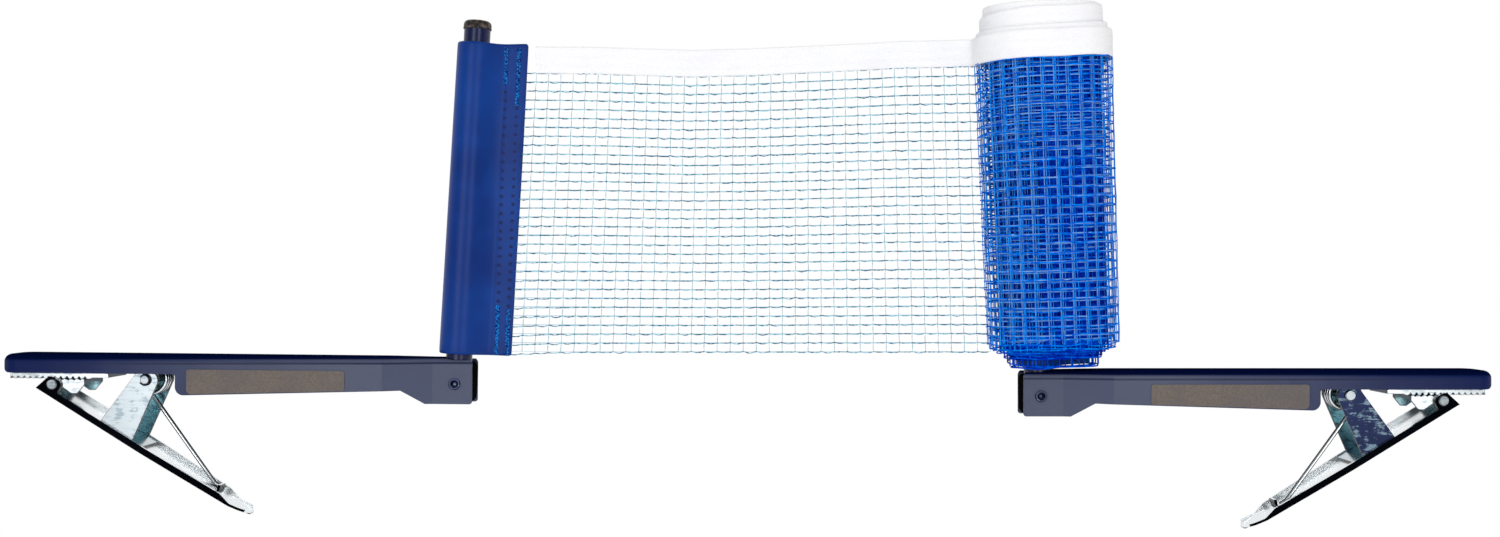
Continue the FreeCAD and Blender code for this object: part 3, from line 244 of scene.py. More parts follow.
def enamel(name, nose_x, foot_x, table_z):
    finish = Finish(name, paint(12, 24, 70), 0.3, Specular_IOR_Level=0.0, Coat_Roughness=0.22)
    x, _, z = finish.parts_of(finish.where())
    along = (x - nose_x) / (foot_x - nose_x)
    cloud = finish.noise(finish.where(), 34.0, 4.0)
    sheen_share = (along + (cloud - 0.5) * 0.16).ease(0.0, 0.85)
    # own dark blue at the nose, grey painted reflection over the walls
    wall = finish.blend(sheen_share, paint(10, 26, 74), paint(76, 82, 104))
    # heights in millimetres above the table: painted dark line under the bend and on the crown
    height = (z - table_z) * 1000
    bend_shade = height.ease(6.6, 7.1) * (1 - height.ease(7.4, 8.0)) * along.ease(0.1, 0.4)
    crown_shade = height.ease(8.6, 9.6)
    dark = (bend_shade * 0.7).most(crown_shade)
    shaded_wall = finish.blend(dark, wall, paint(3, 12, 48))
    # sharp edges get a painted dark line
    finish.set("Base Color", finish.blend(finish.edges(EDGE_SHADE_WIDTH) * 0.5, shaded_wall, paint(2, 6, 26)))
    peel = finish.noise(finish.where(), 900.0, 2.0)
    upward = finish.parts_of(finish.facing())[2]
    finish.set("Coat Weight", (1 - upward.ease(0.1, 0.5)) * (0.12 + cloud * 0.12))
    finish.bump(peel, FINE_GRAIN)
    return finish


left_enamel = enamel("navy_enamel_left", -0.061, 0.150, 0.0)
right_enamel = enamel("navy_enamel_right", 0.6165, 0.405, -0.0071)
dress("left_arm", left_enamel)
dress("right_arm", right_enamel)

tube_enamel = Finish("navy_enamel_tube", paint(12, 22, 70), 0.25, Specular_IOR_Level=0.3)
tube_grain = tube_enamel.noise(tube_enamel.where(), 60.0)
tube_enamel.set("Base Color", tube_enamel.blend(tube_grain, paint(5, 12, 44), paint(14, 26, 76)))
for side in SIDES:
    dress(side + "_post_tube", tube_enamel)
print("enamel on the arms and the posts")

# %% [markdown]
# ## Bright zinc
# Levers, ears, jaws and pins have a polished zinc plating, so they are nearly a mirror. Their
# base colour is a painted reflection: mostly bright, with a painted dark edge wherever the sheet
# turns away. The finish tells those edges from the faces by the piece's own normal: faces across
# the clamp take the near or the far painted reflection by the side they are on, the far one
# darker towards the lever, and edges along the clamp are dark. Fine scratches run over the
# plating, and their light flecks on dark faces also stand for painted reflection.

# %% Zinc
pale = paint(196, 203, 207)
teal = paint(170, 214, 222)
dull = paint(140, 146, 150)
ink = paint(3, 4, 7)
white_metal = paint(232, 236, 238)
rivet_blue = paint(46, 52, 76)


def zinc(name, near, far, edge_reflection, line=EDGE_SHADE_WIDTH, scratched=0.35,
         floor=paint(196, 206, 212), low_far_reflection=paint(22, 66, 92)):
    """Painted reflection on plating: near in front, far behind, another at edges, floor on top.
    """
    finish = Finish(name, WHITE, 0.2, Metallic=1.0)
    _, y, z = finish.parts_of(finish.where())
    _, ny, nz = finish.parts_of(finish.facing())
    streaks = finish.noise(finish.stretched(finish.where(), (160.0, 160.0, 900.0)), 1.0, 5.0)
    clouds = finish.noise(finish.where(), 260.0, 4.0)
    # the colours from here on are a painted reflection, picked by facing and side
    across = ny.far().ease(0.45, 0.75)
    upward = nz.ease(0.2, 0.6)
    deep = finish.blend(z.ease(-0.044, -0.018), low_far_reflection, far)
    outer = finish.blend(ny.under(-0.3), paint(210, 226, 230), near)
    face = finish.blend(y.ease(-0.002, 0.002), outer, deep)
    # scratch wear, whose light flecks on dark faces also stand for painted reflection
    scratch_and_fleck_mask = (streaks * clouds).ease(0.25, 0.34) * scratched
    worn_and_flecked = finish.blend(scratch_and_fleck_mask, face, paint(90, 108, 120))
    rim = finish.blend(upward, edge_reflection, floor)
    reflection_and_wear = finish.blend(across, rim, worn_and_flecked)
    # a painted dark line along sharp edges
    if line:
        reflection_and_wear = finish.blend(finish.edges(line), reflection_and_wear, paint(10, 14, 22))
    finish.set("Base Color", reflection_and_wear)
    finish.set("Roughness", 0.2 + streaks * 0.08)
    return finish


# ears: bright painted reflection on the left clamp, dark navy painted reflection on the right
left_ears = zinc("zinc_left_ears", paint(150, 158, 162), teal, ink, scratched=0.55)
right_ears = zinc("zinc_right_ears", paint(28, 34, 58), teal, ink, scratched=0.9)
# lever: black painted reflection on the near flange, white on its inner faces
lever_zinc = zinc("zinc_lever", ink, white_metal, ink, line=0.0, scratched=0.0,
                  floor=white_metal, low_far_reflection=white_metal)
jaw_zinc = zinc("zinc_jaw", pale, teal, paint(40, 54, 66))
pin_zinc = zinc("zinc_pins", dull, dull, paint(60, 68, 78), line=0.0008, scratched=0.5)
clip_zinc = zinc("zinc_clips", ink, ink, ink, scratched=0.3)
rivet_zinc = zinc("zinc_rivets", rivet_blue, rivet_blue, ink, scratched=0.6)
dress("left_lever_bracket", left_ears)
dress("right_lever_bracket", right_ears)
for side in SIDES:
    dress(side + "_lever", lever_zinc)
    dress(side + "_foot_rivet", rivet_zinc)
    for piece in ("_jaw_pad", "_grip_strip", "_pivot_bracket"):
        dress(side + piece, jaw_zinc)
    dress(side + "_pivot_clip", clip_zinc)
    for pin in ("_pivot_pin", "_jaw_pin"):
        dress(side + pin, pin_zinc)
print("zinc on the clamps")

# %% [markdown]
# ## Spring wire
# The spring is drawn wire, with a painted highlight along its middle and painted shade along its
# two flanks. The normal's part across the clamp gives that line. One leg bears on the arm and the
# other on the lever, so when the lever opens, the coil winds up. A rigid piece can't show that,
# and the wire here is a rigid copy of the model's own spring, shaded smooth, in the model's
# place.

# %% Wire
wire = Finish("spring_wire", WHITE, 0.2, Metallic=1.0)
wire_across = wire.parts_of(wire.facing())[1].far()
wire_grain = wire.noise(wire.where(), 700.0, 2.0)
wire_highlight = wire.blend(wire_grain, paint(196, 202, 206), paint(234, 238, 240))
# painted highlight along the middle, painted shade along the flanks
wire.set("Base Color", wire.blend(wire_across.ease(0.45, 0.8), paint(16, 20, 28), wire_highlight))


def wind_spring(side):
    node = side + "_spring"
    mesh = frame["nodes"][node].data.copy()
    mesh.name = node + "_wire"
    mesh.materials.clear()
    mesh.materials.append(wire.material)
    mesh.shade_smooth()
    spring = bpy.data.objects.new(node + "_wire", mesh)
    bpy.context.scene.collection.objects.link(spring)
    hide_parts(node)
    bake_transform(spring)
    print(spring.name, "has", len(mesh.vertices), "corners")


for side in SIDES:
    wind_spring(side)

# %% [markdown]
# ## Black mouldings and the plate
# The cap and the foot block are moulded in black plastic with a faint mottle. The cap is worn
# brown where hands and bags have rubbed it. The plate on each arm is a matt brown-grey sheet
# with a fine speckle.

# %% Plastic and plate
moulding = Finish("black_moulding", paint(16, 16, 18), 0.45, Specular_IOR_Level=0.0)
mottle = moulding.noise(moulding.where(), 420.0, 4.0)
moulding.set("Base Color", moulding.blend(mottle, paint(4, 4, 6), paint(18, 17, 17)))
moulding.set("Roughness", 0.4 + mottle * 0.25)
moulding.bump(mottle, 0.00008)
worn_cap = Finish("worn_cap", paint(28, 22, 20), 0.5, Specular_IOR_Level=0.3)
scuff = worn_cap.noise(worn_cap.where(), 520.0, 5.0)
scuffed = scuff.ease(0.42, 0.66)
worn_cap.set("Base Color", worn_cap.blend(scuffed, paint(14, 11, 11), paint(92, 78, 68)))
worn_cap.bump(scuff, 0.00012)
plate = Finish("bare_plate", paint(104, 96, 90), 0.6, Specular_IOR_Level=0.15)
speckle = plate.noise(plate.where(), 1300.0, 3.0)
cast = plate.noise(plate.where(), 60.0, 3.0)
tone = plate.blend(speckle, paint(78, 70, 66), paint(130, 120, 112))
plate.set("Base Color", plate.blend(cast.ease(0.35, 0.7) * 0.5, tone, paint(92, 90, 94)))
plate.bump(speckle, FINE_GRAIN)
for side in SIDES:
    dress(side + "_post_cap", worn_cap)
    dress(side + "_foot_block", moulding)
    dress(side + "_label", plate)
print("plastic and plates done")

# %% [markdown]
# ## Making meshes
# The soft pieces are worked out as grids of points in millimetres. One helper turns a grid into
# faces, one turns a path into a round thread, and one makes the piece, scales it to metres,
# puts it in place and lets it ride on its body. Nothing soft is quite straight, so a few slow
# waves with random lengths and starts give each piece its gentle sway.

# %% Grids, threads and pieces
MM = 0.001
FULL_TURN = 6.28


class Cloth:
    """Corners and faces collected for one piece, in millimetres."""

    def __init__(self):
        self.corners = []
        self.faces = []
        self.count = 0

    def grid(self, rows, closed=False):
        """Joins rows of points, each row a list of as many points, into faces."""
        rows = np.asarray(rows, float)
        high, wide = rows.shape[:2]
        index = self.count + np.arange(high * wide).reshape(high, wide)
        right = np.roll(index, -1, axis=1) if closed else index[:, 1:]
        left = index if closed else index[:, :-1]
        faces = np.stack([left[:-1], right[:-1], right[1:], left[1:]], axis=-1)
        self.corners.append(rows.reshape(-1, 3))
        self.faces.append(faces.reshape(-1, 4))
        self.count += high * wide

    def thread(self, path, radius, sides=4, steady=(0, 0, 1)):
        """A round thread along a path. steady is a direction that the path never takes."""
        path = np.asarray(path, float)
        way = np.gradient(path, axis=0)
        way /= np.linalg.norm(way, axis=1)[:, None]
        side = np.cross(way, np.asarray(steady, float))
        side /= np.linalg.norm(side, axis=1)[:, None]
        up = np.cross(side, way)
        turn = np.arange(sides) * 2 * math.pi / sides
        across, along = np.cos(turn)[None, :, None], np.sin(turn)[None, :, None]
        ring = side[:, None] * across + up[:, None] * along
        size = np.broadcast_to(np.asarray(radius, float), (len(path),))[:, None, None]
        self.grid(path[:, None] + ring * size, closed=True)

    def close_ends(self, rows):
        """Closes both ends of a flat tube whose rows go up its front and down its back."""
        half = len(rows[0]) // 2
        for row in (rows[0], rows[-1]):
            self.grid([row[:half], row[:half - 1:-1]])


def place_piece(name, cloth, finish, body, place=None, counted=None):
    """Makes the piece. counted gives each corner its column and row, kept as UV."""
    corners = np.concatenate(cloth.corners) * MM
    faces = np.concatenate(cloth.faces)
    mesh = bpy.data.meshes.new(name)
    mesh.from_pydata(corners.tolist(), [], faces.tolist())
    mesh.materials.append(finish.material)
    mesh.shade_smooth()
    if counted is not None:
        layer = mesh.uv_layers.new(name="counts")
        at = np.array([loop.vertex_index for loop in mesh.loops])
        layer.data.foreach_set("uv", np.asarray(counted, float)[at].ravel())
    piece = bpy.data.objects.new(name, mesh)
    bpy.context.scene.collection.objects.link(piece)
    if place is not None:
        piece.matrix_world = place
    bpy.context.view_layer.update()
    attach(piece, body)
    print("%s: %d corners, %d faces" % (name, len(corners), len(faces)))
    return piece


def on_post(side):
    """The post's own place: z up the post from the foot pin, x away from the other post."""
    turn = joint_facts[side + "_post_turn"]
    up = Vector(turn["axis"]).normalized()
    across = Vector((0, 1 if side == "right" else -1, 0))
    out = across.cross(up)
    turned = Matrix((out, across, up)).transposed().to_4x4()
    return Matrix.Translation(Vector(turn["pos_m"])) @ turned


def slow_waves(dice, count, low, high):
    """A line that sways between -1 and 1, made of count sines with rates from low to high."""
    waves = [(dice.uniform(low, high), dice.uniform(0, FULL_TURN)) for _ in range(count)]
    return lambda at: sum(math.sin(at * rate + start) for rate, start in waves) / count


print("grids, threads and pieces are ready")

# %% [markdown]
# ## Blue vinyl
# The sleeves are cut from coated vinyl: a deep, slightly mottled blue with a soft gloss. The
# photographed one has broad tones and hardly any texture, so the noise is large and weak, with
# a very fine grain in the bump.

# %% Vinyl
vinyl = Finish("blue_vinyl", paint(0, 46, 120), 0.38, Specular_IOR_Level=0.17)
broad = vinyl.noise(vinyl.where(), 26.0, 3.0)
vinyl.set("Base Color", vinyl.blend(broad.ease(0.3, 0.7), paint(0, 42, 116), paint(0, 58, 140)))
grain = vinyl.noise(vinyl.where(), 1500.0, 2.0)
vinyl.set("Roughness", 0.33 + broad * 0.1)
vinyl.bump(grain, FINE_GRAIN)
# a noise lays dark blue patches of painted shade and lighter ones over the thread
stitching = Finish("bright_stitching", paint(10, 104, 200), 0.7, Specular_IOR_Level=0.15)
braid_noise = stitching.noise(stitching.where(), 900.0, 3.0)
braid_shade = braid_noise.ease(0.4, 0.6)
stitching.set("Base Color", stitching.blend(braid_shade, paint(0, 32, 112), paint(24, 134, 222)))
stitching.bump(braid_noise, 0.0001)
# the holes' dark blue is painted shade inside the needle holes
needle = Finish("needle_holes", paint(0, 22, 84), 0.8)
needle_shade_mottle = needle.noise(needle.where(), 900.0)
needle.set("Base Color", needle.blend(needle_shade_mottle, paint(0, 14, 66), paint(4, 36, 104)))
print("vinyl, stitching and needle holes are ready")

# %% [markdown]
# ## The sleeves
# A sleeve is one strip of vinyl, folded round the post and sewn to itself, so that a flat flap
# stands off the post and holds the net's end. Its plan is drawn as an open line, from the edge
# of the flap round the post and back, and repeated up the post with a few soft dents. Solidify
# then gives the sheet its thickness.

# %% Sleeve sheet
SLEEVE_LOW, SLEEVE_HIGH = 13.4, 156.3  # ends above the foot pin
FLAP_HALF = 0.62                       # half the gap between the flap's two layers
FLAP_START, FLAP_END = 14.0, 23.9      # where the flap is flat, out from the post's middle
LOOSE_START = 14.6                     # where the sheet leaves the flap for the post
SHEET_THICKNESS = 0.0009


def sleeve_plan(radius, dent):
    """The sheet's line in plan: flap edge, round the post, flap edge."""
    back = [(x, FLAP_HALF) for x in np.linspace(FLAP_END, FLAP_START, 7)]
    tangent = math.acos(radius / LOOSE_START)
    start = np.array([FLAP_START, FLAP_HALF])
    touch = np.array([radius * math.cos(tangent), radius * math.sin(tangent)])
    run = []
    for share in (0.2, 0.4, 0.6, 0.8):
        sunk = np.array([0, -dent * math.sin(math.pi * share)])
        run.append(tuple(start + (touch - start) * share + sunk))
    turns = np.linspace(tangent, math.pi, 13)
    upper = back + run + [(radius * math.cos(a), radius * math.sin(a)) for a in turns]
    lower = [(x, -y) for x, y in reversed(upper[:-1])]
    return upper + lower


def make_sleeve(side, seed):
    way = -1 if side == "left" else 1
    sway_at = slow_waves(random.Random(seed), 5, 0.03, 0.09)
    rows = []
    for share in np.linspace(0, 1, 64):
        height = SLEEVE_LOW + (SLEEVE_HIGH - SLEEVE_LOW) * share
        radius = 8.35 - 0.6 * share
        sway = sway_at(height)
        row = []
        for x, y in sleeve_plan(radius, 0.5 + 0.35 * sway):
            flap = max(0.0, (x - 10.0) / 14.0)  # 0 round the post, 1 at the flap's edge
            shift = 0.55 * flap * sway
            lift = 0.5 * flap * math.sin(height * 0.045 + 1.0)
            row.append((way * (x + 0.25 * flap * sway), y + shift * 0.6,
                        height + lift * 0.3 + flap * share))
        rows.append(row)
    cloth = Cloth()
    cloth.grid(rows)
    sleeve = place_piece(side + "_vinyl_sleeve", cloth, vinyl, "net", on_post(side))
    wall = sleeve.modifiers.new("wall", "SOLIDIFY")
    wall.thickness = SHEET_THICKNESS
    wall.offset = 1.0 if way > 0 else -1.0
    soft = sleeve.modifiers.new("soft", "SUBSURF")
    soft.levels = soft.render_levels = 1
    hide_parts(side + "_sleeve")
    return sleeve


sleeves = {side: make_sleeve(side, seed) for side, seed in (("left", 3), ("right", 8))}

# %% [markdown]
# ## Sewing on the flap
# Two rows of lock stitches hold the flap's layers together. The thread shows bright only where
# it was sewn over twice, at both ends of a row. In between only the needle's holes are seen. So
# the ends are two strands that wind about each other, and each hole is a small shallow cup.

# %% Sewing
STITCH_ROWS = ((17.2, 14.1), (22.0, 19.9))  # out from the post at the lower and upper end
LOCKED_ENDS = ((37.0, 138.0), (35.0, 128.5))  # heights between which only holes are seen
STRAND_STEP, STRAND_RATE = 0.5, 1.9
THREAD_LEVEL, HOLE_LEVEL = 1.5, 1.58  # above the flap's middle plane
HOLE_SPACING = 4.0
CUP_RINGS = ((0.9, 0.0), (0.66, 0.14), (0.05, 0.16))  # radius and rise of each ring


def stitch_place(ends, height):
    """How far out from the post a row of stitches is at a height."""
    share = (height - SLEEVE_LOW) / (SLEEVE_HIGH - SLEEVE_LOW)
    return ends[0] + (ends[1] - ends[0]) * share


def lock_strand(dice, way, ends, face, start, end, strand):
    """One strand of thread that winds about its partner from start to end."""
    path = []
    for step in range(int((end - start) / STRAND_STEP)):
        height = start + step * STRAND_STEP
        angle = height * STRAND_RATE + strand * math.pi
        swing, rise = 0.62 * math.sin(angle), 0.3 * math.cos(angle)
        path.append((way * (stitch_place(ends, height) + swing + dice.uniform(-0.2, 0.2)),
                     face * THREAD_LEVEL + face * (0.15 + rise),
                     height + dice.uniform(-0.2, 0.2)))
    return path


def needle_cup(centre, face):
    """The rings of one hole, from its rim inwards."""
    turns = np.arange(8) * math.pi / 4
    return [[centre + np.array([size * math.cos(a), face * rise, size * 0.9 * math.sin(a)])
             for a in turns] for size, rise in CUP_RINGS]


def make_sewing(side, seed):
    way = -1 if side == "left" else 1
    dice = random.Random(seed)
    thread, holes = Cloth(), Cloth()
    for ends, (low_end, high_start) in zip(STITCH_ROWS, LOCKED_ENDS):
        for face in (-1, 1):
            for start, end in ((SLEEVE_LOW + 0.6, low_end), (high_start, SLEEVE_HIGH - 0.8)):
                for strand in (0, 1):
                    path = lock_strand(dice, way, ends, face, start, end, strand)
                    thread.thread(path, 0.4, 5, steady=(1, 0, 0.3))
            height = low_end + 1.5
            while height < high_start - 1.0:
                middle = way * (stitch_place(ends, height) + dice.uniform(-0.12, 0.12))
                centre = np.array([middle, face * HOLE_LEVEL, height])
                holes.grid(needle_cup(centre, face), closed=True)
                height += HOLE_SPACING + dice.uniform(-0.25, 0.25)
    sewing = place_piece(side + "_flap_sewing", thread, stitching, "net", on_post(side))
    marks = place_piece(side + "_needle_holes", holes, needle, "net", on_post(side))
    return [sewing, marks]


for side, seed in (("left", 5), ("right", 6)):
    extra = make_sewing(side, seed)

# %% [markdown]
# ## Netting cord
# The net is knitted from thin cords: two twisted plies along each row and one thin ply up each
# column. The light dashes where the plies catch the light are a painted highlight, laid by a
# noise on rows and columns alike. Under the cords lies a plane that is clear between them, so
# that the net keeps its full size as a sheet.


# %% Cord finishes
def cord_finish(name, dark, light, grain):
    finish = Finish(name, dark, 0.7, Specular_IOR_Level=0.0)
    twist_glint = finish.noise(finish.where(), grain, 2.0)
    # light dashes of painted highlight along the twist
    finish.set("Base Color", finish.blend(twist_glint.ease(0.42, 0.58), dark, light))
    ply = finish.noise(finish.where(), grain * 4, 2.0)
    finish.bump(ply, 0.00012)
    return finish


def net_film(name, tone, thin):
    """The plane of a net: only its cords are there, and its meshes are clear."""
    finish = Finish(name, tone, 0.8, Specular_IOR_Level=0.0)
    counts = Signal(finish, finish.place.outputs["UV"])
    column, row, _ = finish.parts_of(counts)
    from_row, from_column = finish.wave(row + 0.5), finish.wave(column + 0.5)
    finish.set("Alpha", from_row.under(thin).most(from_column.under(thin * 0.5)))
    tones = finish.noise(finish.where(), 300.0, 2.0)
    finish.set("Base Color", finish.blend(tones, tone, paint(150, 196, 226)))
    return finish


row_cord = cord_finish("net_row_cord", paint(28, 104, 136), paint(160, 212, 228), 330.0)
column_cord = cord_finish("net_column_cord", paint(150, 196, 206), paint(206, 228, 234), 300.0)
print("cords of the flat net are ready")

# %% [markdown]
# ## The flat netting
# The net hangs between the left flap and the roll. Its columns lean with the flap on the left
# and with the roll on the right, so each is found by dividing the bottom edge and the tape's
# edge into as many parts. The rows sag a little between columns and droop towards the flap near
# the bottom.

# %% Flat netting
# lengths here are in millimetres
left_foot = Vector(joint_facts["left_post_turn"]["pos_m"]) * 1000
right_foot = Vector(joint_facts["right_post_turn"]["pos_m"]) * 1000
LEFT_LEAN, RIGHT_LEAN = math.tan(math.radians(3.2)), math.tan(math.radians(2.0))
FLAP_REACH, ROLL_REACH = 22.6, 21.0  # from a post's middle to the net's end
NET_LOW, NET_ROWS, NET_COLUMNS = 12.0, 31, 37
LEFT_HIGH, RIGHT_HIGH = 140, 143  # the netting's upper corners
CELL_PARTS = 6                    # points along one cell of a row
TAPE_DIP = ((170, 181, 210, 251, 279, 320, 350, 383, 395),
            (140.3, 140.3, 139.9, 138.6, 139.3, 141.2, 142.7, 143.4, 143.4))


def net_left(z):
    return left_foot.x + FLAP_REACH + (z - left_foot.z) * LEFT_LEAN


def net_right(z):
    return right_foot.x - ROLL_REACH - (z - right_foot.z) * RIGHT_LEAN


def tape_low(x):
    """The tape's lower edge, as it dips between the flap and the roll."""
    return float(np.interp(x, *TAPE_DIP))


def net_point(across, up):
    """A point of the net by its shares along and up the net."""
    low_x = net_left(NET_LOW) + (net_right(NET_LOW) - net_left(NET_LOW)) * across
    high_x = net_left(LEFT_HIGH) + (net_right(RIGHT_HIGH) - net_left(LEFT_HIGH)) * across
    x = low_x + (high_x - low_x) * up
    return x, NET_LOW + (tape_low(x) - NET_LOW) * up


def make_netting():
    dice = random.Random(11)
    cloth, thin = Cloth(), Cloth()
    for row in range(NET_ROWS + 1):
        up = row / NET_ROWS
        droop = 1.3 * (1 - up) ** 4
        path, size = [], []
        for column in range(NET_COLUMNS):
            sag = dice.uniform(0.15, 0.5)
            tilt = dice.uniform(-0.16, 0.16)
            for part in range(CELL_PARTS):
                across = (column + part / CELL_PARTS) / NET_COLUMNS
                x, z = net_point(across, up)
                half_turn = math.pi * part / CELL_PARTS
                wave = -sag * math.sin(half_turn) + tilt * math.cos(2 * half_turn)
                fall = droop * math.exp(-across * NET_COLUMNS / 3.0)
                path.append((x, 0.12 * math.sin(across * 900), z + wave - fall))
                size.append(0.26 + 0.07 * math.sin(across * 700 + row))
        cloth.thread(path, size, 5, steady=(0, 1, 0))
    for column in range(1, NET_COLUMNS):
        path = []
        for part in range(NET_ROWS * 2 + 1):
            x, z = net_point(column / NET_COLUMNS, part / NET_ROWS / 2)
            path.append((x + 0.16 * math.sin(part * 1.57 + column), 0.1, z))
        thin.thread(path, 0.13, 4, steady=(0, 1, 0))
    plane, counts, corners = Cloth(), [], []
    for up in np.linspace(0, 1, NET_ROWS + 1):
        line = []
        for column in range(NET_COLUMNS + 1):
            x, z = net_point(column / NET_COLUMNS, up)
            line.append((x, 0.12, z))
            counts.append((column, up * NET_ROWS))
        corners.append(line)
    plane.grid(corners)
    film = net_film("net_plane", paint(110, 170, 190), 0.03)
    netting = place_piece("netting", plane, film, "net", counted=counts)
    rows = place_piece("netting_rows", cloth, row_cord, "net")
    columns = place_piece("netting_columns", thin, column_cord, "net")
    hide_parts("net_mesh")


make_netting()

# %% [markdown]
# ## White tape
# A white woven tape is folded over the net's top edge and sewn down. It is nearly as bright as
# the paper behind it, so its form shows only by faint grey lines: the weave, two sewn lines and
# the shaded fold. A tape is a flat closed tube in section, so one helper draws that section and
# carries it along a line, here straight along the net and later round the roll.

# %% Tape finish and section
tape = Finish("white_tape", paint(244, 244, 248), 0.75)
weave = tape.noise(tape.stretched(tape.where(), (1.0, 1.0, 6.0)), 900.0, 2.0)
shade = tape.noise(tape.where(), 45.0, 3.0)
cloth_white = tape.blend(weave.ease(0.35, 0.65), paint(246, 246, 250), paint(255, 255, 255))
# soft grey patches over the tape are painted shade, as from creases
tape.set("Base Color", tape.blend(shade.ease(0.4, 0.8) * 0.4, cloth_white, paint(236, 236, 243)))
tape.bump(weave, 0.00015)

# shares of the tape's height, and how thick it is there: thin at both sewn lines and at the fold
TAPE_LINES = (0.0, 0.06, 0.14, 0.31, 0.335, 0.36, 0.62, 0.645, 0.67, 0.84, 0.93, 1.0)
TAPE_SWELL = (0.55, 0.95, 1.0, 1.0, 0.72, 1.0, 1.0, 0.72, 1.0, 1.0, 0.85, 0.4)
TAPE_START = 180.2


def tape_section(height, half):
    """Points round the folded tape: out from its middle plane and up from its lower edge."""
    front = [(-half * swell, height * share) for share, swell in zip(TAPE_LINES, TAPE_SWELL)]
    back = [(-out, up) for out, up in reversed(front)]
    return front + back


def make_top_tape():
    end = net_right(150) + 0.4
    sway_at = slow_waves(random.Random(21), 6, 0.05, 0.25)
    rows = []
    for x in np.linspace(TAPE_START, end, 120):
        low = tape_low(x)
        sway = sway_at(x)
        section = tape_section(12.5 + 0.25 * sway, 0.65)
        rows.append([(x, out + 0.5 * sway, low - 0.3 + up) for out, up in section])
    cloth = Cloth()
    cloth.grid(rows, closed=True)
    cloth.close_ends(rows)
    band = place_piece("top_tape", cloth, tape, "net")
    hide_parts("net_top_band")


make_top_tape()

# %% [markdown]
# ## The line of the roll
# The rest of the net is rolled round the right post and its flap. In plan that is a flat spiral:
# half circles about the two ends, joined by straight runs, each wrap one pitch wider. The line
# is worked out once, with its length, so that cords can be counted along it and tape can follow
# it. The wraps have slipped along the post, the inner ones further, and `slip` and `foot` say
# how far at each half wrap.

# %% Roll line
ROLL_CORE, ROLL_FLAT = 9.1, 15.5  # inner radius, and the straight part between the ends
ROLL_PITCH, ROLL_HALVES = 1.45, 17.5
ROLL_TOP = 151.4                  # the netting's upper edge above the foot pin, before slipping
# half wraps, and the slip of the upper edge or the height of the lower edge there
SLIPS = ((0, 12.4, 13.4, 15.0, 16.5, 17.5), (14.6, 14.0, 9.6, 3.0, 1.6, 0))
FEET = ((0, 5, 6, 10, 14, 16, 17.5), (13.2, 13.6, 17.0, 20.3, 21.4, 22.4, 24.6))


def roll_line():
    """Rows of (along, x, y, out x, out y, half wraps) from the core outwards."""
    rows, along, last = [], 0.0, None
    for half in range(math.ceil(ROLL_HALVES)):
        centre = ROLL_FLAT if half % 2 == 0 else 0.0
        begin = math.pi / 2 if half % 2 == 0 else -math.pi / 2
        share_end = min(1.0, ROLL_HALVES - half)
        for share in np.linspace(0, share_end, 19 if share_end == 1 else 10):
            radius = ROLL_CORE + (half + share) * ROLL_PITCH / 2
            angle = begin - math.pi * share
            out = (math.cos(angle), math.sin(angle))
            point = (centre + radius * out[0], radius * out[1])
            if last is not None:
                along += math.dist(point, last)
            rows.append((along, point[0], point[1], out[0], out[1], half + share))
            last = point
    return np.array(rows)


LINE = roll_line()
ROLL_LENGTH = LINE[-1, 0]
print("the rolled net is %.0f mm long" % ROLL_LENGTH)


def on_roll(along):
    """Interpolated columns of the line at lengths along it."""
    return np.stack([np.interp(along, LINE[:, 0], LINE[:, i]) for i in range(1, 6)], axis=1)


def looser(halves, up):
    """How far the outer wraps stand off the tight line, more at the top than at the bottom."""
    return (1.0 + 1.5 * up) * (halves / ROLL_HALVES) ** 2


def slip(halves):
    """How far a wrap's upper edge has slipped up the post."""
    return np.interp(halves, *SLIPS)


def foot(halves):
    """The rolled net's lower edge above the foot pin."""
    return np.interp(halves, *FEET)


def rolled_height(halves, up):
    """Height above the foot pin by the share up the rolled netting."""
    low = foot(halves)
    return low + (ROLL_TOP + slip(halves) - low) * up


# %% [markdown]
# ## Rolled netting
# Nearly nine wraps of blue cord lie over each other. Looked at from the front, the outer wraps
# are azure with lighter columns, and the depths between them are a strong royal blue. Real cords
# give part of that by themselves: each row is a long cord along the spiral, each column a short
# one. The inner wraps are the same cord drawn in a deeper blue, which is painted shade. Small
# random shifts keep the wraps from lining up like a printed grid. The inner wraps stop the eye,
# so their plane is a closed one with a woven tone, also in painted shade.

# %% Rolled cords
azure = cord_finish("azure_cord", paint(0, 90, 226), paint(0, 132, 250), 320.0)
light_azure = cord_finish("azure_column_cord", paint(0, 128, 244), paint(36, 160, 255), 240.0)
# the inner wraps' royal cord is a painted shade of the same azure cord
shaded_royal = cord_finish("royal_cord", paint(0, 56, 196), paint(0, 96, 232), 260.0)
CORE_END = 11.0     # half wraps that belong to the inner part
COLUMN_PITCH = 5.6  # between two columns along the net

# the inner plane's blues are painted shade of the roll's depths, with darker shade patches
deep_weave = Finish("rolled_net_depths", paint(0, 34, 150), 0.9, Specular_IOR_Level=0.0)
deep_z = deep_weave.parts_of(deep_weave.where())[2]
deep_cloud = deep_weave.noise(deep_weave.where(), 240.0, 4.0)
deep_rows = deep_weave.wave(deep_z * 243 + deep_cloud * 0.5).ease(0.15, 0.4)
deep_tone = deep_weave.blend(deep_rows, paint(0, 44, 176), paint(0, 82, 224))
deep_shade = deep_cloud.ease(0.5, 0.7)
deep_weave.set("Base Color", deep_weave.blend(deep_shade, deep_tone, paint(0, 22, 130)))
deep_weave.bump(deep_rows, 0.0004)


def wavy(count, dice, step, size):
    """A random line of the given size, with a knot at every step."""
    knots = np.array([dice.uniform(-size, size) for _ in range(count // step + 3)])
    return np.interp(np.arange(count) / step, np.arange(len(knots)), knots)


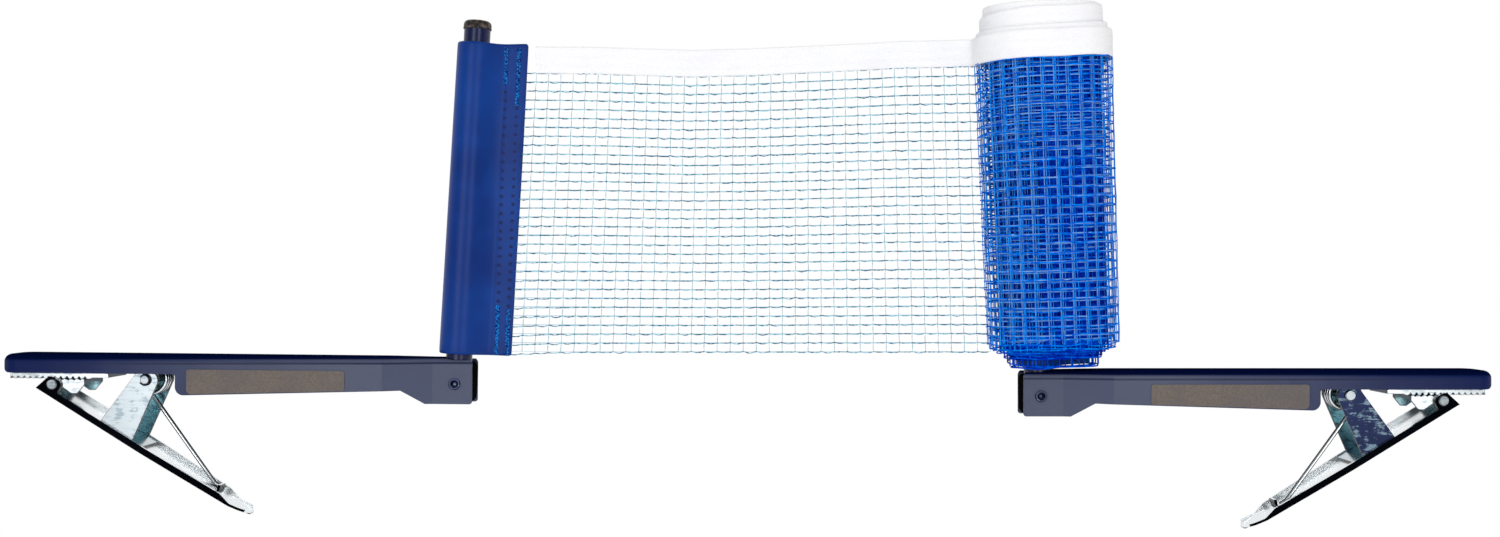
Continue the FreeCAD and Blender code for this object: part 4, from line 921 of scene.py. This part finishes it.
def roll_cords(dice, begin, end, fine):
    """Rows along the line and columns up the roll, between two lengths of the line."""
    rows, columns = Cloth(), Cloth()
    spots = np.arange(begin, end, 1.9 if fine else 3.2)
    x, y, out_x, out_y, halves = on_roll(spots).T
    for row in range(NET_ROWS + 1):
        up = row / NET_ROWS
        z = rolled_height(halves, up)
        z = z + wavy(len(spots), dice, 3, 0.55) + wavy(len(spots), dice, 12, 0.5)
        lift = wavy(len(spots), dice, 2, 0.35) + looser(halves, up)
        path = np.stack([x + out_x * lift, y + out_y * lift, z], axis=1)
        rows.thread(path, 0.32 if fine else 0.4, 3)
    for number in range(math.ceil(begin / COLUMN_PITCH), int(end / COLUMN_PITCH) + 1):
        x, y, out_x, out_y, halves = on_roll(np.array([number * COLUMN_PITCH])).T
        count = 40 if fine else 22
        height = np.linspace(foot(halves)[0], ROLL_TOP + slip(halves)[0], count)
        sway = wavy(count, dice, 4, 0.5) + dice.uniform(-0.5, 0.5)
        path = np.stack([x + out_y * sway, y - out_x * sway, height], axis=1)
        lift = 0.25 + wavy(count, dice, 2, 0.2) + looser(halves[0], np.linspace(0, 1, count))
        path[:, 0] += out_x * lift
        path[:, 1] += out_y * lift
        columns.thread(path, 0.24 if fine else 0.34, 3, steady=(out_x[0], out_y[0], 0.0))
    return rows, columns


def roll_plane(name, begin, end, finish, place):
    """The net's sheet between two lengths of the line, with its columns and rows counted."""
    x, y, out_x, out_y, halves = on_roll(np.arange(begin, end, COLUMN_PITCH / 2)).T
    lines, counts = [], []
    for up in np.linspace(0.02, 1, NET_ROWS + 1):
        z = rolled_height(halves, up)
        lift = looser(halves, up)
        lines.append(np.stack([x + out_x * lift, y + out_y * lift, z], axis=1))
        counts.extend((column / 2, up * NET_ROWS) for column in range(len(x)))
    plane = Cloth()
    plane.grid(lines)
    return place_piece(name, plane, finish, "net", place, counts)


def make_rolled_net():
    dice = random.Random(31)
    split = float(np.interp(CORE_END, LINE[:, 5], LINE[:, 0]))
    outer = roll_cords(dice, split, ROLL_LENGTH, True)
    inner = roll_cords(dice, 0.0, split, False)
    place = on_post("right")
    outer_rows = place_piece("rolled_net_rows", outer[0], azure, "net", place)
    outer_columns = place_piece("rolled_net_columns", outer[1], light_azure, "net", place)
    inner_rows = place_piece("rolled_net_inner_rows", inner[0], shaded_royal, "net", place)
    inner_columns = place_piece("rolled_net_inner_columns", inner[1], shaded_royal, "net", place)
    outer_film = net_film("rolled_net_plane", paint(0, 90, 214), 0.05)
    for name, begin, end, finish in (("outer", split, ROLL_LENGTH, outer_film),
                                     ("inner", 0.0, split, deep_weave)):
        roll_plane("rolled_net_" + name, begin, end, finish, place)
    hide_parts("net_roll")


make_rolled_net()


# %% [markdown]
# ## Rolled tape
# The same tape goes round the roll along the same line. It starts level with the flat tape on
# the left and climbs as the wraps slip, which gives the stepped crown at the top of the roll.

# %% Rolled tape
ROLLED_TAPE_LOW, ROLLED_TAPE_HEIGHT = 151.6, 12.6


def make_rolled_tape():
    dice = random.Random(41)
    spots = np.arange(0, ROLL_LENGTH, 2.4)
    sway = wavy(len(spots), dice, 6, 0.3)
    lean = wavy(len(spots), dice, 9, 0.25)
    section = tape_section(ROLLED_TAPE_HEIGHT, 0.52)
    rows = []
    for (x, y, out_x, out_y, halves), swing, tip in zip(on_roll(spots), sway, lean):
        x, y = x + out_x * looser(halves, 1.0), y + out_y * looser(halves, 1.0)
        low = ROLLED_TAPE_LOW + float(slip(halves)) + swing
        row = []
        for out, up in section:
            shift = tip * up / ROLLED_TAPE_HEIGHT - out
            row.append((x + out_x * shift, y + out_y * shift, low + up))
        rows.append(row)
    cloth = Cloth()
    cloth.grid(rows, closed=True)
    cloth.close_ends(rows)
    band = place_piece("rolled_tape", cloth, tape, "net", on_post("right"))
    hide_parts("roll_band")


make_rolled_tape()

# %% [markdown]
# ## Camera
# The photograph is nearly square on, from about 0.7 m, with a normal wide lens. Its level line
# runs through the middle of the picture, so the camera needs no shift.

# %% Camera
lens = bpy.data.cameras.new("camera")
lens.sensor_width = 36.0
lens.lens = 36.0
lens.clip_start = 0.01
camera = bpy.data.objects.new("camera", lens)
camera.location = (0.2788, -0.690, 0.0503)
camera.rotation_euler = (math.radians(90), 0, 0)
bpy.context.scene.collection.objects.link(camera)
bpy.context.scene.camera = camera
print("camera at", tuple(round(part, 4) for part in camera.location))

# %% [markdown]
# ## Floor and paper
# The set is photographed as if it hung in white paper, and both clamps can fold down. The floor
# therefore lies just under the reach of a folded clamp, and a paper stands behind. Both are
# white to the camera and in reflections by way of the Light Path node, and a share of plain
# white near the set lets the floor keep a soft shadow.


# %% Floor and paper
def plain_sheet(name, size, place, turn, own_share):
    """A square white sheet. own_share of it, near the set, takes light and shadow."""
    mesh = bpy.data.meshes.new(name)
    half = size / 2
    mesh.from_pydata([(-half, -half, 0), (half, -half, 0), (half, half, 0), (-half, half, 0)],
                     [], [(0, 1, 2, 3)])
    sheet = bpy.data.objects.new(name, mesh)
    sheet.location = place
    sheet.rotation_euler = turn
    bpy.context.scene.collection.objects.link(sheet)
    finish = Finish(name + "_white", paint(245, 245, 245), 0.9, Specular_IOR_Level=0.0)
    seen = finish.tree.nodes.new("ShaderNodeLightPath")
    camera_ray = Signal(finish, seen.outputs["Is Camera Ray"])
    glossy_ray = Signal(finish, seen.outputs["Is Glossy Ray"])
    through_ray = Signal(finish, seen.outputs["Is Transmission Ray"])
    depth = finish.parts_of(finish.where())[1] + place[1]
    near = 1 - depth.far().ease(0.02, 0.3)
    shown = camera_ray.most(glossy_ray).most(through_ray) * (1 - near * own_share)
    glow = finish.node("ShaderNodeEmission", None, {"Color": WHITE, "Strength": 1.0})
    own = Signal(finish, finish.shader.outputs[0])
    mixed = finish.node("ShaderNodeMixShader", None, {0: shown, 1: own, 2: glow})
    out = finish.tree.nodes["Material Output"]
    finish.tree.links.new(mixed.socket, out.inputs["Surface"])
    mesh.materials.append(finish.material)


FOLDED_REACH = 0.235  # just more than a folded clamp reaches below the table's level
plain_sheet("floor", 8.0, (0.28, 0.6, -FOLDED_REACH), (0, 0, 0), 0.05)
plain_sheet("paper", 8.0, (0.28, 2.2, 1.0), (math.radians(90), 0, 0), 0.0)
print("floor and paper are up")

# %% [markdown]
# ## The air of the studio
# The paper side of the studio is white in every reflection. The side behind the camera is a
# dimmer room, which keeps the enamel and the vinyl deep in colour. What the camera sees directly
# is plain white, and what lights the matt surfaces is an even, weaker white.


# %% Studio air
class Studio(Finish):
    """The world's nodes, with the same methods as a finish."""

    def __init__(self, world):
        world.use_nodes = True
        self.tree = world.node_tree
        self.place = self.tree.nodes.new("ShaderNodeTexCoord")


world = bpy.data.worlds.new("studio")
bpy.context.scene.world = world
studio = Studio(world)
rays = studio.tree.nodes.new("ShaderNodeLightPath")
through = Signal(studio, rays.outputs["Is Transmission Ray"])
seen = Signal(studio, rays.outputs["Is Camera Ray"]).most(through)
mirrored = Signal(studio, rays.outputs["Is Glossy Ray"])
paper_side = studio.parts_of(Signal(studio, studio.place.outputs["Generated"]))[1].ease(-0.5, 0.1)
room = studio.node("ShaderNodeBackground", None, {"Color": WHITE, "Strength": 0.25})
paper = studio.node("ShaderNodeBackground", None, {"Color": WHITE, "Strength": 1.0})
even = studio.node("ShaderNodeBackground", None, {"Color": WHITE, "Strength": 0.68})
reflected = studio.node("ShaderNodeMixShader", None, {0: paper_side, 1: room, 2: paper})
lit = studio.node("ShaderNodeMixShader", None, {0: mirrored, 1: even, 2: reflected})
shown = studio.node("ShaderNodeMixShader", None, {0: seen, 1: lit, 2: paper})
studio.tree.links.new(shown.socket, studio.tree.nodes["World Output"].inputs["Surface"])
print("studio air has", len(studio.tree.nodes), "nodes")

# %% [markdown]
# ## Soft boxes
# Two broad soft boxes stand left and right of the camera, as on a copying stand. They give the
# vinyl and the enamel their soft bright bands and leave no hard shadow.


# %% Soft boxes
def soft_box(name, place, aim, width, height, watts):
    lamp = bpy.data.lights.new(name, "AREA")
    lamp.shape = "RECTANGLE"
    lamp.size, lamp.size_y = width, height
    lamp.energy = watts
    stand = bpy.data.objects.new(name, lamp)
    stand.location = place
    stand.rotation_euler = (Vector(aim) - Vector(place)).to_track_quat("-Z", "Y").to_euler()
    bpy.context.scene.collection.objects.link(stand)
    print(name, "gives", watts, "W")


soft_box("left_soft_box", (-0.31, -1.40, 0.10), (0.2, 0, 0.02), 0.58, 0.9, 5.8)
soft_box("right_soft_box", (0.90, -1.40, 0.10), (0.4, 0, 0.02), 0.5, 0.9, 5.0)
bpy.context.scene.view_settings.view_transform = "Standard"
